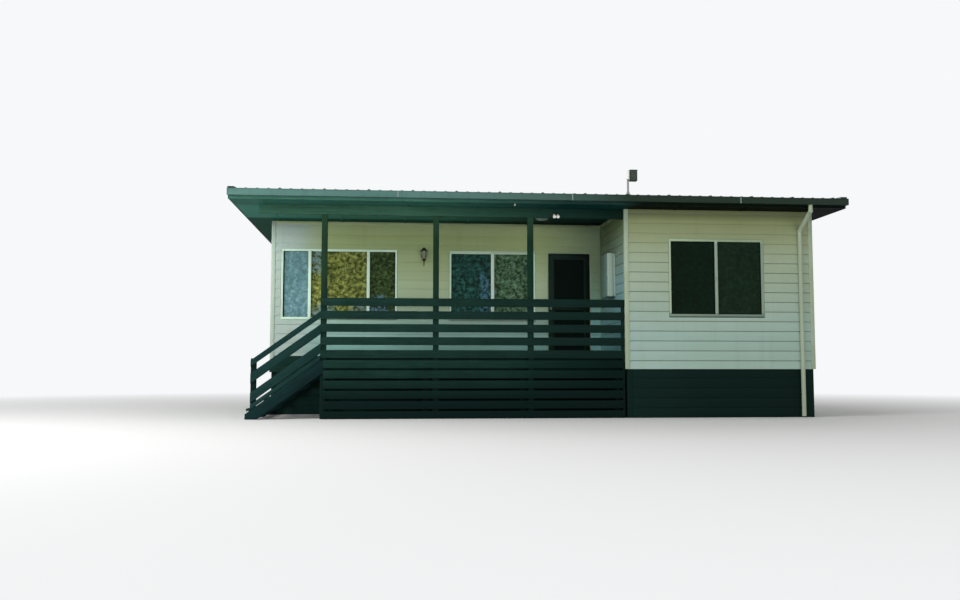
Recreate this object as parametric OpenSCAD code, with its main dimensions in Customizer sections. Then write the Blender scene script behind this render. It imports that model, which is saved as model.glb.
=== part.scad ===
// Beach house on a raised floor: weatherboard rooms under a low metal roof,
// with a timber veranda cut into the front left and a stair down its left end.
// Millimetres. X runs along the front, Y runs from front (negative) to rear,
// Z = 0 is the ground. The origin is on the ground in the middle of the roof.

/* [House] */
// Length of the walls along the front
house_w = 9870; // [9200:10:10800]
// Depth of the house from the wing's front wall to the rear wall
house_d = 7400; // [6800:10:8600]
// Height of the floor and of the deck above the ground
floor_z = 1080; // [1000:10:1200]
// Height of the ceiling above the floor
room_h = 2626; // [2500:1:2750]
// Thickness of the outer walls
wall_t = 120; // [90:5:200]
// Thickness of the floor
floor_t = 100; // [60:5:140]
// How far the cladding hangs below the floor
clad_drop = 224; // [150:1:260]
// Width of the corner boards
trim_w = 78; // [50:1:120]
// Thickness of the corner boards
trim_t = 18; // [10:1:30]

/* [Base] */
// Thickness of the base boards under the walls
base_t = 45; // [25:1:70]
// How far the base boards stand in from the wall face
base_inset = 15; // [5:1:30]
// Side of the square stumps at the corners
stump_w = 100; // [80:1:115]

/* [Veranda] */
// Length of the recessed front, from the left corner to the wing
recess_w = 6423; // [6100:1:6700]
// Depth of the recess behind the wing's front wall
recess_d = 1900; // [1700:10:2200]
// Distance from the left corner of the house to the left edge of the deck
deck_inset = 1074; // [1000:1:1300]
// Side of the square veranda posts
post_w = 100; // [90:1:120]
// Width and depth of the short post at the end of the rails
end_post = [45, 90];
// Distances from the left edge of the deck to the middle of each tall post
tall_posts = [50, 1986, 3657];
// Height of the beam over the posts
beam_h = 168; // [150:1:240]
// Width of the beam
beam_w = 90; // [70:5:100]
// Thickness of the deck boards
deck_t = 25; // [19:1:40]
// Height of the joists and of the bearers
joist_h = 140; // [120:5:160]
// Width of a joist
joist_w = 45; // [35:1:60]
// Width of a bearer
bearer_w = 70; // [60:1:95]
// Greatest distance between joists
joist_pitch = 450; // [400:10:600]

/* [Boards] */
// Height of one rail or skirt board
board_h = 140; // [120:1:160]
// Thickness of one rail or skirt board
board_t = 35; // [25:1:40]
// Distance from one rail to the next
rail_pitch = 225; // [180:1:240]
// Number of rails in the balustrade
rail_count = 5; // [3:1:5]
// Height of the top rail's upper edge above the deck
rail_top = 1002; // [900:1:1050]
// Distance from one skirt board to the next
skirt_pitch = 175; // [165:1:190]
// How far the skirt boards start in from the corner post's left face
skirt_inset = 50; // [20:1:90]
// Width of the end post that stays bare beside the rails
end_reveal = 24; // [10:1:100]

/* [Stair] */
// Number of risers from the ground to the deck
riser_count = 6; // [5:1:7]
// Depth of one step from nosing to nosing
going = 250; // [240:1:300]
// Thickness of a tread
tread_t = 40; // [30:1:50]
// Depth of a tread from front to back
tread_depth = 245; // [220:1:250]
// Gap between the stair's far side and the wall
stair_wall_gap = 30; // [10:1:100]
// Depth of a stringer board
stringer_h = 190; // [160:1:240]
// How far the stringer's top lies below the line of the nosings
stringer_drop = 90; // [70:1:110]
// Side of the square newel at the foot of the stair
newel_w = 90; // [70:1:110]
// Distance from the lowest nosing to the middle of the newel
newel_set = 128; // [110:1:140]

/* [Roof] */
// How far the eaves reach past the walls
eave = 450; // [300:10:600]
// Slope of the roof in degrees
roof_pitch = 5; // [3:0.5:10]
// Thickness of the ribbed roof sheets over their ribs
sheet_t = 28; // [20:1:40]
// How far the sheets reach past the fascia into the gutter
sheet_lip = 50; // [20:1:60]
// Height of the fascia boards
fascia_h = 170; // [140:5:220]
// Thickness of the fascia and barge boards
fascia_t = 25; // [18:1:35]
// How far the fascia hangs below the eaves lining
fascia_drop = 5; // [0:1:40]
// Thickness of the eaves and ceiling lining
lining_t = 12; // [6:1:20]
// Width of the gutter
gutter_w = 115; // [90:1:130]
// Height of the gutter
gutter_h = 115; // [90:1:120]
// How far the gutter's rim lies below the eave line
gutter_drop = 10; // [2:1:20]
// Thickness of the gutter's sheet metal
gutter_t = 3; // [2:0.5:5]
// Width of the ridge capping on each side
ridge_w = 170; // [120:5:250]
// Thickness of the ridge capping
ridge_t = 10; // [5:1:20]

/* [Windows] */
// Height of the window heads above the floor
head_h = 2085; // [2050:5:2150]
// Height of the windows
window_h = 1362; // [1200:1:1500]
// Width of a window frame member
frame_w = 36; // [30:1:60]
// Width of the bar where two sashes meet
mullion_w = 60; // [40:1:80]
// Depth of a window frame
frame_d = 90; // [70:1:100]
// How far a frame stands out from the cladding
frame_proud = 15; // [5:1:25]
// Thickness of the glass
glass_t = 6; // [4:1:10]
// Distance from the left corner to the wide window
wide_x = 189; // [150:1:400]
// Width of the wide window
wide_w = 2200; // [2000:5:2300]
// Width of the wide window's left sash
wide_left = 527; // [450:1:650]
// Width of the wide window's right sash
wide_right = 553; // [450:1:650]
// Distance from the left corner to the veranda window
slider_x = 3405; // [3350:1:3450]
// Width of the sliding window on the veranda and on the unseen sides
slider_w = 1693; // [1600:1:1750]
// Distance from the wing's left corner to its window
wing_window_x = 782; // [700:1:900]
// Width of the wing window
wing_window_w = 1740; // [1600:5:1800]
// Distance from the rear corners to the sliding windows of the rear wall
rear_slider_set = 900; // [700:10:1000]

/* [Door] */
// Distance from the left corner to the left edge of the door leaf
door_x = 5362; // [5300:1:5400]
// Width of the door leaf
door_w = 820; // [770:1:830]
// Height of the door leaf
door_h = 2040; // [2000:1:2060]
// Thickness of the door leaf
door_t = 35; // [30:1:45]
// Clear gap all round the door leaf
door_gap = 6; // [5:0.5:8]
// Thickness of the door frame's jambs
jamb_t = 20; // [15:1:30]
// Width of the door's stiles and top rail
stile_w = 90; // [70:1:110]
// Width of the door's middle and bottom rails
lock_rail_w = 120; // [100:1:160]
// Height of the door's middle rail above the foot of the leaf
lock_rail_h = 950; // [850:10:1000]
// Thickness of the screen in the door
screen_t = 8; // [4:1:12]
// Radius of a hinge barrel
hinge_r = 6; // [5:0.5:7]
// Length of a hinge barrel
hinge_len = 100; // [75:1:120]

/* [Fittings] */
// Diameter of the downpipes
pipe_d = 75; // [60:1:100]
// Width of the meter box along the wall
meter_w = 530; // [400:5:560]
// Height of the meter box
meter_h = 810; // [600:5:860]
// How far the meter box stands out from the wall
meter_d = 155; // [120:5:180]
// Distance from the wing's front to the meter box
meter_set = 720; // [600:10:760]
// Height of the meter box above the floor
meter_up = 1120; // [1000:10:1200]
// Distance from the left corner to the lantern
lantern_x = 2905; // [2700:1:3100]
// Height of the lantern's foot above the floor
lantern_up = 1768; // [1650:1:1900]
// Height of the lantern
lantern_h = 370; // [300:5:420]
// Distance from the left corner to the ceiling light
lamp_x = 5092; // [4900:1:5300]
// Distance from the wing's front to the ceiling light
lamp_set = 1000; // [900:10:1400]
// Diameter of the ceiling light
lamp_d = 260; // [200:5:320]
// Height of the downpipes' open ends above the ground
pipe_foot = 20; // [10:5:150]
// Distance from the left corner to the twin light on the beam
flood_x = 5179; // [4700:1:5600]
// Angle of the twin light's heads below level
flood_tilt = 35; // [0:1:60]
// Distance from the left corner to the service mast
mast_x = 6426; // [6200:1:6700]
// Distance from the wing's front out to the service mast
mast_set = 250; // [150:5:350]
// Height of the service mast above the roof
mast_h = 443; // [350:1:600]

/* [Hidden] */
$fn = 32;

cream = "#d8dccb";
frame_cream = "#e4e6da";
dark_timber = "#26322f";
metal_green = "#5f7268";
grey_metal = "#8b9490";
glass_tint = "#5d737a";

front_y = -house_d / 2;
rear_y = house_d / 2;
left_x = -house_w / 2;
right_x = house_w / 2;
wing_x = left_x + recess_w;
recess_y = front_y + recess_d;
ceiling_z = floor_z + room_h;
clad_z = floor_z - clad_drop;
tan_pitch = tan(roof_pitch);

fascia_z = ceiling_z - fascia_drop;
eave_z = fascia_z + fascia_h;
roof_y = house_d / 2 + eave;
roof_x = house_w / 2 + eave;
ridge_z = eave_z + roof_y * tan_pitch;
sheet_rise = sheet_t / cos(roof_pitch);
gutter_z = eave_z - gutter_h - gutter_drop;

head_z = floor_z + head_h;
sill_z = head_z - window_h;

deck_x = left_x + deck_inset;
deck_right = wing_x - trim_t;
deck_front = front_y + board_t;
post_back = deck_front + post_w;
post_notch = 3;
beam_z = ceiling_z - beam_h;
joist_z = floor_z - deck_t - joist_h;
bearer_z = joist_z - joist_h;
frame_back = post_back + post_notch;
bearer_ys = [frame_back + 20, recess_y - 2 * bearer_w];
end_post_x = deck_right - end_post[0] / 2;
post_xs = [for (p = tall_posts) deck_x + p];
rail_end = deck_right - end_reveal;
rail_z = floor_z + rail_top - board_h;
low_rail_z = rail_z - (rail_count - 1) * rail_pitch;
skirt_count = floor((low_rail_z - 10) / skirt_pitch) + 1;

riser = floor_z / riser_count;
slope = riser / going;
slope_deg = atan(slope);
stair_low_x = deck_x - (riser_count - 1) * going;
newel_x = stair_low_x + newel_set;
stair_back = recess_y - stair_wall_gap;
stringer_mid_y = (front_y + stair_back - board_t) / 2;
stringer_far_y = stair_back - board_t;
// The sloping rails as [height of the upper edge over the deck at its left edge, depth]
stair_rail_list = [[765, 90], [540, 140], [211, 140], [8, 70]];

door_left = left_x + door_x;
door_right = door_left + door_w;
door_sill_t = 6;
sill_proud = 10;
door_z = floor_z + door_sill_t + door_gap;
door_top = door_z + door_h;
opening_left = door_left - door_gap - jamb_t;
opening_right = door_right + door_gap + jamb_t;
opening_top = door_top + door_gap + jamb_t;
door_y = recess_y;
stop_t = 12;
stop_w = 18;
lock_rail_z = door_z + lock_rail_h;
pin_x = door_right + door_gap / 2;
pin_y = door_y - hinge_r;
hinge_plate_t = 3;

// Windows as [left edge along the wall, width, bars as distances from the left edge]
wide_bars = [wide_left, wide_w - wide_right];
slider_bars = [slider_w / 2];
wing_bars = [wing_window_w / 2];
side_window_ys = [0.22, 0.66];
rear_wide_x = -wide_w / 2;
rear_slider_xs = [left_x + rear_slider_set, right_x - rear_slider_set - slider_w];

function wall_window_y(share) = recess_y + share * (rear_y - recess_y) - slider_w / 2;
function right_window_y(share) = front_y + share * house_d - slider_w / 2;

// Holes and frames are drawn in a wall's own frame: along the wall, outwards, up.
// at_front puts that frame on a wall that faces -Y, and the others on the other sides.
module at_front(y) translate([0, y, 0]) children();
module at_rear(y) translate([0, y, 0]) mirror([0, 1, 0]) children();
module at_left(x) translate([x, 0, 0]) rotate([0, 0, 90]) mirror([0, 1, 0]) children();
module at_right(x) translate([x, 0, 0]) rotate([0, 0, 90]) children();

module window_hole(x, w) {
    translate([x, -wall_t, sill_z]) cube([w, 3 * wall_t, window_h]);
}

// A window frame with upright bars, as one solid
module window_frame(x, w, bars) {
    color(frame_cream) translate([x, -frame_proud, sill_z]) difference() {
        cube([w, frame_d, window_h]);
        difference() {
            translate([frame_w, -frame_d, frame_w])
                cube([w - 2 * frame_w, 3 * frame_d, window_h - 2 * frame_w]);
            for (b = bars)
                translate([b - mullion_w / 2, 0, 0]) cube([mullion_w, frame_d, window_h]);
        }
    }
}

// The panes between the frame's sides and its bars
module window_panes(x, w, bars) {
    edges = concat([frame_w - mullion_w / 2], bars, [w - frame_w + mullion_w / 2]);
    for (i = [0:len(edges) - 2])
        translate([x + edges[i] + mullion_w / 2, frame_d / 2 - frame_proud, sill_z + frame_w])
            cube([edges[i + 1] - edges[i] - mullion_w, glass_t, window_h - 2 * frame_w]);
}

module block(x0, x1, y0, y1, z0, z1) {
    translate([x0, y0, z0]) cube([x1 - x0, y1 - y0, z1 - z0]);
}

// A shape drawn in the Y-Z plane and drawn out along X
module along_x(x0, x1) {
    translate([x0, 0, 0]) rotate([90, 0, 90]) linear_extrude(x1 - x0) children();
}

// A shape drawn in the X-Z plane and drawn out along Y
module along_y(y0, y1) {
    translate([0, y1, 0]) rotate([90, 0, 0]) linear_extrude(y1 - y0) children();
}

module room_plan(inset) {
    polygon([
        [left_x + inset, recess_y + inset],
        [wing_x + inset, recess_y + inset],
        [wing_x + inset, front_y + inset],
        [right_x - inset, front_y + inset],
        [right_x - inset, rear_y - inset],
        [left_x + inset, rear_y - inset]
    ]);
}

module house_floor() {
    color("tan") translate([0, 0, floor_z - floor_t]) linear_extrude(floor_t) room_plan(wall_t);
}

// Boarded panels between the corner stumps, from the ground to the walls
module base_boards() {
    s = base_inset + stump_w;
    color(dark_timber) {
        block(wing_x + base_inset, wing_x + base_inset + base_t, front_y + s,
            recess_y + base_inset + base_t, 0, clad_z);
        block(wing_x + s, right_x - s, front_y + base_inset,
            front_y + base_inset + base_t, 0, clad_z);
        block(right_x - base_inset - base_t, right_x - base_inset, front_y + s,
            rear_y - s, 0, clad_z);
        block(left_x + s, right_x - s, rear_y - base_inset - base_t,
            rear_y - base_inset, 0, clad_z);
        block(left_x + base_inset, left_x + base_inset + base_t, recess_y + s,
            rear_y - s, 0, clad_z);
    }
}

// The boarded panel under the recessed wall, from the ground to the floor
module recess_base() {
    color(dark_timber) block(left_x + wall_t, wing_x, recess_y + base_inset,
        recess_y + base_inset + base_t, 0, floor_z);
}

module corner_stumps() {
    corners = [[left_x, recess_y, 1, 1], [wing_x, front_y, 1, 1], [right_x, front_y, -1, 1],
        [right_x, rear_y, -1, -1], [left_x, rear_y, 1, -1]];
    color(dark_timber) for (c = corners)
        translate([c[0] + c[2] * (base_inset + stump_w / 2),
            c[1] + c[3] * (base_inset + stump_w / 2), clad_z / 2])
            cube([stump_w, stump_w, clad_z], center = true);
}

module recess_wall() {
    color(cream) difference() {
        block(left_x + wall_t, opening_left, recess_y, recess_y + wall_t, floor_z, ceiling_z);
        at_front(recess_y) {
            window_hole(left_x + wide_x, wide_w);
            window_hole(left_x + slider_x, slider_w);
        }
    }
}

module wall_over_door() {
    color(cream) block(opening_left, opening_right, recess_y, recess_y + wall_t,
        opening_top, ceiling_z);
}

module wall_beside_door() {
    color(cream) block(opening_right, wing_x, recess_y, recess_y + wall_t, floor_z, ceiling_z);
}

module wing_side_wall() {
    color(cream) block(wing_x, wing_x + wall_t, front_y + wall_t, recess_y + wall_t,
        clad_z, ceiling_z);
}

module wing_front_wall() {
    color(cream) difference() {
        block(wing_x, right_x - wall_t, front_y, front_y + wall_t, clad_z, ceiling_z);
        at_front(front_y) window_hole(wing_x + wing_window_x, wing_window_w);
    }
}

module left_end_wall() {
    color(cream) difference() {
        block(left_x, left_x + wall_t, recess_y, rear_y, clad_z, ceiling_z);
        at_left(left_x) for (s = side_window_ys) window_hole(wall_window_y(s), slider_w);
    }
}

module right_end_wall() {
    color(cream) difference() {
        block(right_x - wall_t, right_x, front_y, rear_y, clad_z, ceiling_z);
        at_right(right_x) for (s = side_window_ys) window_hole(right_window_y(s), slider_w);
    }
}

module rear_wall() {
    color(cream) difference() {
        block(left_x + wall_t, right_x - wall_t, rear_y - wall_t, rear_y, clad_z, ceiling_z);
        at_rear(rear_y) {
            window_hole(rear_wide_x, wide_w);
            for (x = rear_slider_xs) window_hole(x, slider_w);
        }
    }
}

// An L of two boards round an outer corner; sx and sy point out of the house
module corner_board(x, y, sx, sy) {
    translate([x, y, clad_z]) mirror([sx > 0 ? 1 : 0, 0, 0]) mirror([0, sy > 0 ? 1 : 0, 0])
        linear_extrude(ceiling_z - clad_z) difference() {
            translate([-trim_t, -trim_t]) square(trim_w);
            square(trim_w);
        }
}

module corner_boards() {
    color(frame_cream) {
        corner_board(left_x, recess_y, -1, -1);
        corner_board(wing_x, front_y, -1, -1);
        corner_board(right_x, front_y, 1, -1);
        corner_board(right_x, rear_y, 1, 1);
        corner_board(left_x, rear_y, -1, 1);
    }
}

module room_ceiling() {
    color("white") translate([0, 0, ceiling_z]) linear_extrude(lining_t) room_plan(0);
}

// Flat lining under the eaves and over the veranda
module eaves_lining() {
    color(dark_timber) translate([0, 0, ceiling_z]) linear_extrude(lining_t) difference() {
        square([2 * (roof_x - fascia_t), 2 * (roof_y - fascia_t)], center = true);
        room_plan(0);
    }
}

module fascia_boards() {
    color(dark_timber) for (s = [-1, 1])
        translate([0, s * (roof_y - fascia_t / 2), fascia_z + fascia_h / 2])
            cube([2 * (roof_x - fascia_t), fascia_t, fascia_h], center = true);
}

module barge_boards() {
    color(dark_timber) for (x = [-roof_x, roof_x - fascia_t])
        along_x(x, x + fascia_t) polygon([
            [-roof_y, fascia_z],
            [roof_y, fascia_z],
            [roof_y, eave_z],
            [0, ridge_z],
            [-roof_y, eave_z]
        ]);
}

// One slope of roof sheets, from its lip in the gutter to the ridge
module roof_slope() {
    lip_y = -roof_y - sheet_lip;
    lip_z = eave_z - sheet_lip * tan_pitch;
    along_x(-roof_x, roof_x) polygon([
        [lip_y, lip_z],
        [0, ridge_z],
        [0, ridge_z + sheet_rise],
        [lip_y, lip_z + sheet_rise]
    ]);
}

module roof_front() {
    color(grey_metal) roof_slope();
}

module roof_rear() {
    color(grey_metal) mirror([0, 1, 0]) roof_slope();
}

module ridge_capping() {
    z = ridge_z + sheet_rise;
    drop = ridge_w * tan_pitch;
    color(grey_metal) along_x(-roof_x, roof_x) polygon([
        [-ridge_w, z - drop],
        [0, z],
        [ridge_w, z - drop],
        [ridge_w, z - drop + ridge_t],
        [0, z + ridge_t],
        [-ridge_w, z - drop + ridge_t]
    ]);
}

// A square gutter with closed ends, hung on the fascia, lower under the lip of the sheets
module gutter() {
    lip_z = eave_z - sheet_lip * tan_pitch;
    color(metal_green) difference() {
        block(-roof_x, roof_x, -roof_y - gutter_w, -roof_y, gutter_z, gutter_z + gutter_h);
        block(-roof_x + gutter_t, roof_x - gutter_t, -roof_y - gutter_w + gutter_t,
            -roof_y - gutter_t, gutter_z + gutter_t, gutter_z + 2 * gutter_h);
        block(-roof_x - 1, roof_x + 1, -roof_y - sheet_lip - 1, -roof_y + 1, lip_z,
            lip_z + gutter_h);
    }
}

module gutters() {
    gutter();
    mirror([0, 1, 0]) gutter();
}

// A round pipe from under the gutter back to the wall and down to the ground
module downpipe() {
    r = pipe_d / 2;
    bend_r = r + 3;
    top_y = -roof_y - gutter_w / 2;
    wall_y = front_y - bend_r;
    run = wall_y - top_y;
    outlet = 110;
    fall = 0.6;
    bend_z = gutter_z - outlet;
    low_z = bend_z - run * fall;
    translate([0, top_y, bend_z]) {
        cylinder(r = r, h = gutter_z - bend_z);
        sphere(r = bend_r);
        rotate([-90 - atan2(bend_z - low_z, run), 0, 0])
            cylinder(r = r, h = norm([run, bend_z - low_z]));
    }
    translate([0, wall_y, low_z]) sphere(r = bend_r);
    translate([0, wall_y, pipe_foot]) cylinder(r = r, h = low_z - pipe_foot);
}

module downpipes() {
    pipe_x = right_x - 2 * trim_w - pipe_d;
    color(cream) {
        translate([pipe_x, 0, 0]) downpipe();
        for (x = [-pipe_x, pipe_x]) translate([x, 0, 0]) mirror([0, 1, 0]) downpipe();
    }
}

// The beam's right end is notched round the wing's corner board
module veranda_beam() {
    mid = deck_front + post_w / 2;
    color(dark_timber) difference() {
        block(left_x, wing_x, mid - beam_w / 2, mid + beam_w / 2, beam_z, ceiling_z);
        block(wing_x - trim_t, wing_x + 1, front_y - trim_t, front_y + trim_w - trim_t,
            beam_z - 1, ceiling_z + 1);
    }
}

// Three tall posts under the beam and a short one at the end of the rails
module veranda_posts() {
    color(dark_timber) {
        for (x = post_xs)
            block(x - post_w / 2, x + post_w / 2, deck_front, post_back, 0, beam_z);
        block(end_post_x - end_post[0] / 2, end_post_x + end_post[0] / 2, deck_front,
            deck_front + end_post[1], 0, floor_z + rail_top);
    }
}

module deck_boards() {
    notches = concat([for (x = post_xs) [x, post_w, post_w]], [concat([end_post_x], end_post)]);
    color(dark_timber) difference() {
        block(deck_x, deck_right, deck_front, recess_y, floor_z - deck_t, floor_z);
        for (n = notches)
            block(n[0] - n[1] / 2 - post_notch, n[0] + n[1] / 2 + post_notch, deck_front - 1,
                deck_front + n[2] + post_notch, floor_z - 2 * deck_t, floor_z + deck_t);
    }
}

// Joists from the rim to the wall, each a board on its edge
module deck_joists() {
    count = ceil((deck_right - deck_x - joist_w) / joist_pitch);
    step = (deck_right - deck_x - joist_w) / count;
    color(dark_timber) for (i = [0:count])
        block(deck_x + i * step, deck_x + i * step + joist_w, frame_back + joist_w, recess_y,
            joist_z, joist_z + joist_h);
}

// Two bearers under the joists, and the rim across the joists' front ends
module deck_bearers() {
    color(dark_timber) {
        block(deck_x, deck_right, frame_back, frame_back + joist_w, joist_z, joist_z + joist_h);
        for (y = bearer_ys)
            block(deck_x, deck_right, y, y + bearer_w, bearer_z, bearer_z + joist_h);
    }
}

module deck_stumps() {
    span = deck_right - deck_x - 2 * stump_w;
    color(dark_timber) for (y = bearer_ys, i = [0:3])
        translate([deck_x + stump_w + i * span / 3, y + bearer_w / 2, bearer_z / 2])
            cube([stump_w, stump_w, bearer_z], center = true);
}

// Flat boards across the fronts of the posts; the lowest hides the deck's edge
module balustrade_rails() {
    color(dark_timber) for (i = [0:rail_count - 1])
        block(deck_x, rail_end, front_y, deck_front,
            rail_z - i * rail_pitch, rail_z - i * rail_pitch + board_h);
}

module skirt_boards() {
    color(dark_timber) for (i = [1:skirt_count]) {
        top = low_rail_z + board_h - i * skirt_pitch;
        block(deck_x + skirt_inset, rail_end, front_y, deck_front,
            max(0, top - board_h), top);
    }
}

// A board that runs down the stair, on its edge: top is the height of its upper
// edge over the deck at the deck's left edge, cut off upright at both ends
module sloping_board(top, depth, y0, y1, x0, x1) {
    tall = depth / cos(slope_deg);
    z0 = floor_z + top - (deck_x - x0) * slope;
    z1 = floor_z + top - (deck_x - x1) * slope;
    along_y(y0, y1) intersection() {
        polygon([[x0, z0], [x1, z1], [x1, z1 - tall], [x0, z0 - tall]]);
        translate([x0, 0]) square([x1 - x0, floor_z + top + 1]);
    }
}

// The near stringer laps onto the corner post; the others end at the deck's edge
module stair_stringers() {
    color(dark_timber) {
        sloping_board(-stringer_drop, stringer_h, front_y, deck_front, stair_low_x,
            deck_x + skirt_inset);
        for (y = [stringer_mid_y, stringer_far_y])
            sloping_board(-stringer_drop, stringer_h, y, y + board_t, stair_low_x, deck_x);
    }
}

// Treads in two bays between the stringers; the lowest stops behind the newel
module stair_treads() {
    color(dark_timber) for (i = [1:riser_count - 1]) {
        nose = deck_x - (riser_count - i) * going;
        top = i * riser;
        near_y = nose < newel_x + newel_w / 2 ? deck_front + newel_w : deck_front;
        block(nose, nose + tread_depth, near_y, stringer_mid_y, top - tread_t, top);
        block(nose, nose + tread_depth, stringer_mid_y + board_t, stringer_far_y,
            top - tread_t, top);
    }
}

module stair_rails() {
    color(dark_timber) for (r = stair_rail_list)
        sloping_board(r[0], r[1], front_y, deck_front, newel_x - newel_w / 2, deck_x);
}

module stair_newel() {
    top = floor_z + stair_rail_list[0][0] - (deck_x - newel_x) * slope;
    color(dark_timber) block(newel_x - newel_w / 2, newel_x + newel_w / 2, deck_front,
        deck_front + newel_w, 0, top);
}

module wide_window() {
    at_front(recess_y) window_frame(left_x + wide_x, wide_w, wide_bars);
}

module veranda_window() {
    at_front(recess_y) window_frame(left_x + slider_x, slider_w, slider_bars);
}

module wing_window() {
    at_front(front_y) window_frame(wing_x + wing_window_x, wing_window_w, wing_bars);
}

module side_rear_windows() {
    at_left(left_x) for (s = side_window_ys)
        window_frame(wall_window_y(s), slider_w, slider_bars);
    at_right(right_x) for (s = side_window_ys)
        window_frame(right_window_y(s), slider_w, slider_bars);
    at_rear(rear_y) {
        window_frame(rear_wide_x, wide_w, wide_bars);
        for (x = rear_slider_xs) window_frame(x, slider_w, slider_bars);
    }
}

module window_glass() {
    color(glass_tint, 0.4) {
        at_front(recess_y) {
            window_panes(left_x + wide_x, wide_w, wide_bars);
            window_panes(left_x + slider_x, slider_w, slider_bars);
        }
        at_front(front_y) window_panes(wing_x + wing_window_x, wing_window_w, wing_bars);
        at_left(left_x) for (s = side_window_ys)
            window_panes(wall_window_y(s), slider_w, slider_bars);
        at_right(right_x) for (s = side_window_ys)
            window_panes(right_window_y(s), slider_w, slider_bars);
        at_rear(rear_y) {
            window_panes(rear_wide_x, wide_w, wide_bars);
            for (x = rear_slider_xs) window_panes(x, slider_w, slider_bars);
        }
    }
}

// Two jambs and a head, with a stop behind the leaf that ends on the sill
module door_frame() {
    color(frame_cream) {
        along_y(door_y, door_y + wall_t) difference() {
            translate([opening_left, floor_z])
                square([opening_right - opening_left, opening_top - floor_z]);
            translate([opening_left + jamb_t, floor_z - 1])
                square([opening_right - opening_left - 2 * jamb_t,
                    opening_top - floor_z - jamb_t + 1]);
        }
        along_y(door_y + door_t + door_gap, door_y + door_t + door_gap + stop_t) difference() {
            translate([opening_left + jamb_t, floor_z + door_sill_t])
                square([opening_right - opening_left - 2 * jamb_t,
                    opening_top - floor_z - door_sill_t - jamb_t]);
            translate([opening_left + jamb_t + stop_w, floor_z - 1])
                square([opening_right - opening_left - 2 * (jamb_t + stop_w),
                    opening_top - floor_z - jamb_t - stop_w + 1]);
        }
    }
}

module door_sill() {
    color(grey_metal) block(opening_left + jamb_t, opening_right - jamb_t,
        door_y - sill_proud, door_y + wall_t, floor_z, floor_z + door_sill_t);
}

// Barrels on the outer face, each with a plate on the jamb
module door_hinges() {
    color(dark_timber) for (z = [door_z + 200, door_z + door_h / 2, door_top - 200])
        translate([pin_x, pin_y, z - hinge_len / 2]) {
            cylinder(r = hinge_r, h = hinge_len);
            translate([0, hinge_r - hinge_plate_t, 0])
                cube([door_gap / 2 + jamb_t, hinge_plate_t, hinge_len]);
        }
}

module front_door() {
    pane_w = door_w - 2 * stile_w;
    color(dark_timber) difference() {
        block(door_left, door_right, door_y, door_y + door_t, door_z, door_top);
        translate([door_left + stile_w, door_y - 1, door_z + lock_rail_w])
            cube([pane_w, door_t + 2, lock_rail_z - door_z - lock_rail_w]);
        translate([door_left + stile_w, door_y - 1, lock_rail_z + lock_rail_w])
            cube([pane_w, door_t + 2, door_top - stile_w - lock_rail_z - lock_rail_w]);
    }
}

module door_screen() {
    y = door_y + (door_t - screen_t) / 2;
    color("#1c2422") {
        block(door_left + stile_w, door_right - stile_w, y, y + screen_t,
            door_z + lock_rail_w, lock_rail_z);
        block(door_left + stile_w, door_right - stile_w, y, y + screen_t,
            lock_rail_z + lock_rail_w, door_top - stile_w);
    }
}

// A plate and lever on each face of the left stile
module door_handle() {
    x = door_left + stile_w / 2;
    z = lock_rail_z + lock_rail_w / 2;
    color(grey_metal) for (s = [0, 1])
        translate([0, s * (2 * door_y + door_t), 0]) mirror([0, s, 0]) {
            block(x - 20, x + 20, door_y - 8, door_y, z - 80, z + 80);
            translate([x, door_y - 7, z]) rotate([90, 0, 0]) cylinder(r = 9, h = 38);
            translate([x, door_y - 45, z]) rotate([0, 90, 0]) cylinder(r = 8, h = 110);
        }
}

module meter_box() {
    y = front_y + meter_set;
    z = floor_z + meter_up;
    color(frame_cream) block(wing_x - meter_d, wing_x, y, y + meter_w, z, z + meter_h);
}

// A wall bracket that carries a small lantern with a domed cap
module coach_lantern() {
    x = left_x + lantern_x;
    z = floor_z + lantern_up;
    color("#3a332c") {
        translate([x, recess_y, z + 190]) rotate([90, 0, 0]) cylinder(d = 110, h = 18);
        translate([x, recess_y - 17, z + 190]) rotate([90, 0, 0]) cylinder(d = 20, h = 93);
        translate([x, recess_y - 110, z]) rotate_extrude() polygon([
            [0, 0], [9, 6], [9, 100], [38, 130], [52, lantern_h - 80], [76, lantern_h - 70],
            [60, lantern_h - 35], [24, lantern_h - 18], [12, lantern_h], [0, lantern_h]
        ]);
    }
}

module ceiling_light() {
    translate([left_x + lamp_x, front_y + lamp_set, ceiling_z]) mirror([0, 0, 1]) color("white") {
        cylinder(d = lamp_d, h = 20);
        translate([0, 0, 20]) cylinder(d1 = lamp_d, d2 = lamp_d - 60, h = 50);
    }
}

// Two lamp heads on a small box on the beam, pointing out and down
module flood_light() {
    x = left_x + flood_x;
    y = deck_front + post_w / 2 - beam_w / 2;
    z = beam_z + 45;
    color("white") {
        block(x - 30, x + 30, y - 26, y, z - 30, z + 30);
        for (s = [-1, 1])
            translate([x + s * 31, y - 22, z]) rotate([90 + flood_tilt, 0, 0])
                cylinder(d = 58, h = 75);
    }
}

// A pipe on the roof with a connection box at its top
module service_mast() {
    x = left_x + mast_x;
    y = front_y - mast_set;
    z = eave_z + (roof_y + y) * tan_pitch + sheet_rise + 0.05;
    color(grey_metal) translate([x, y, z]) {
        rotate([roof_pitch, 0, 0]) cylinder(d = 110, h = 6);
        translate([0, 0, 3]) cylinder(d = 50, h = mast_h - 23);
        translate([5, -40, mast_h - 200]) cube([155, 80, 200]);
    }
}

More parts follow.
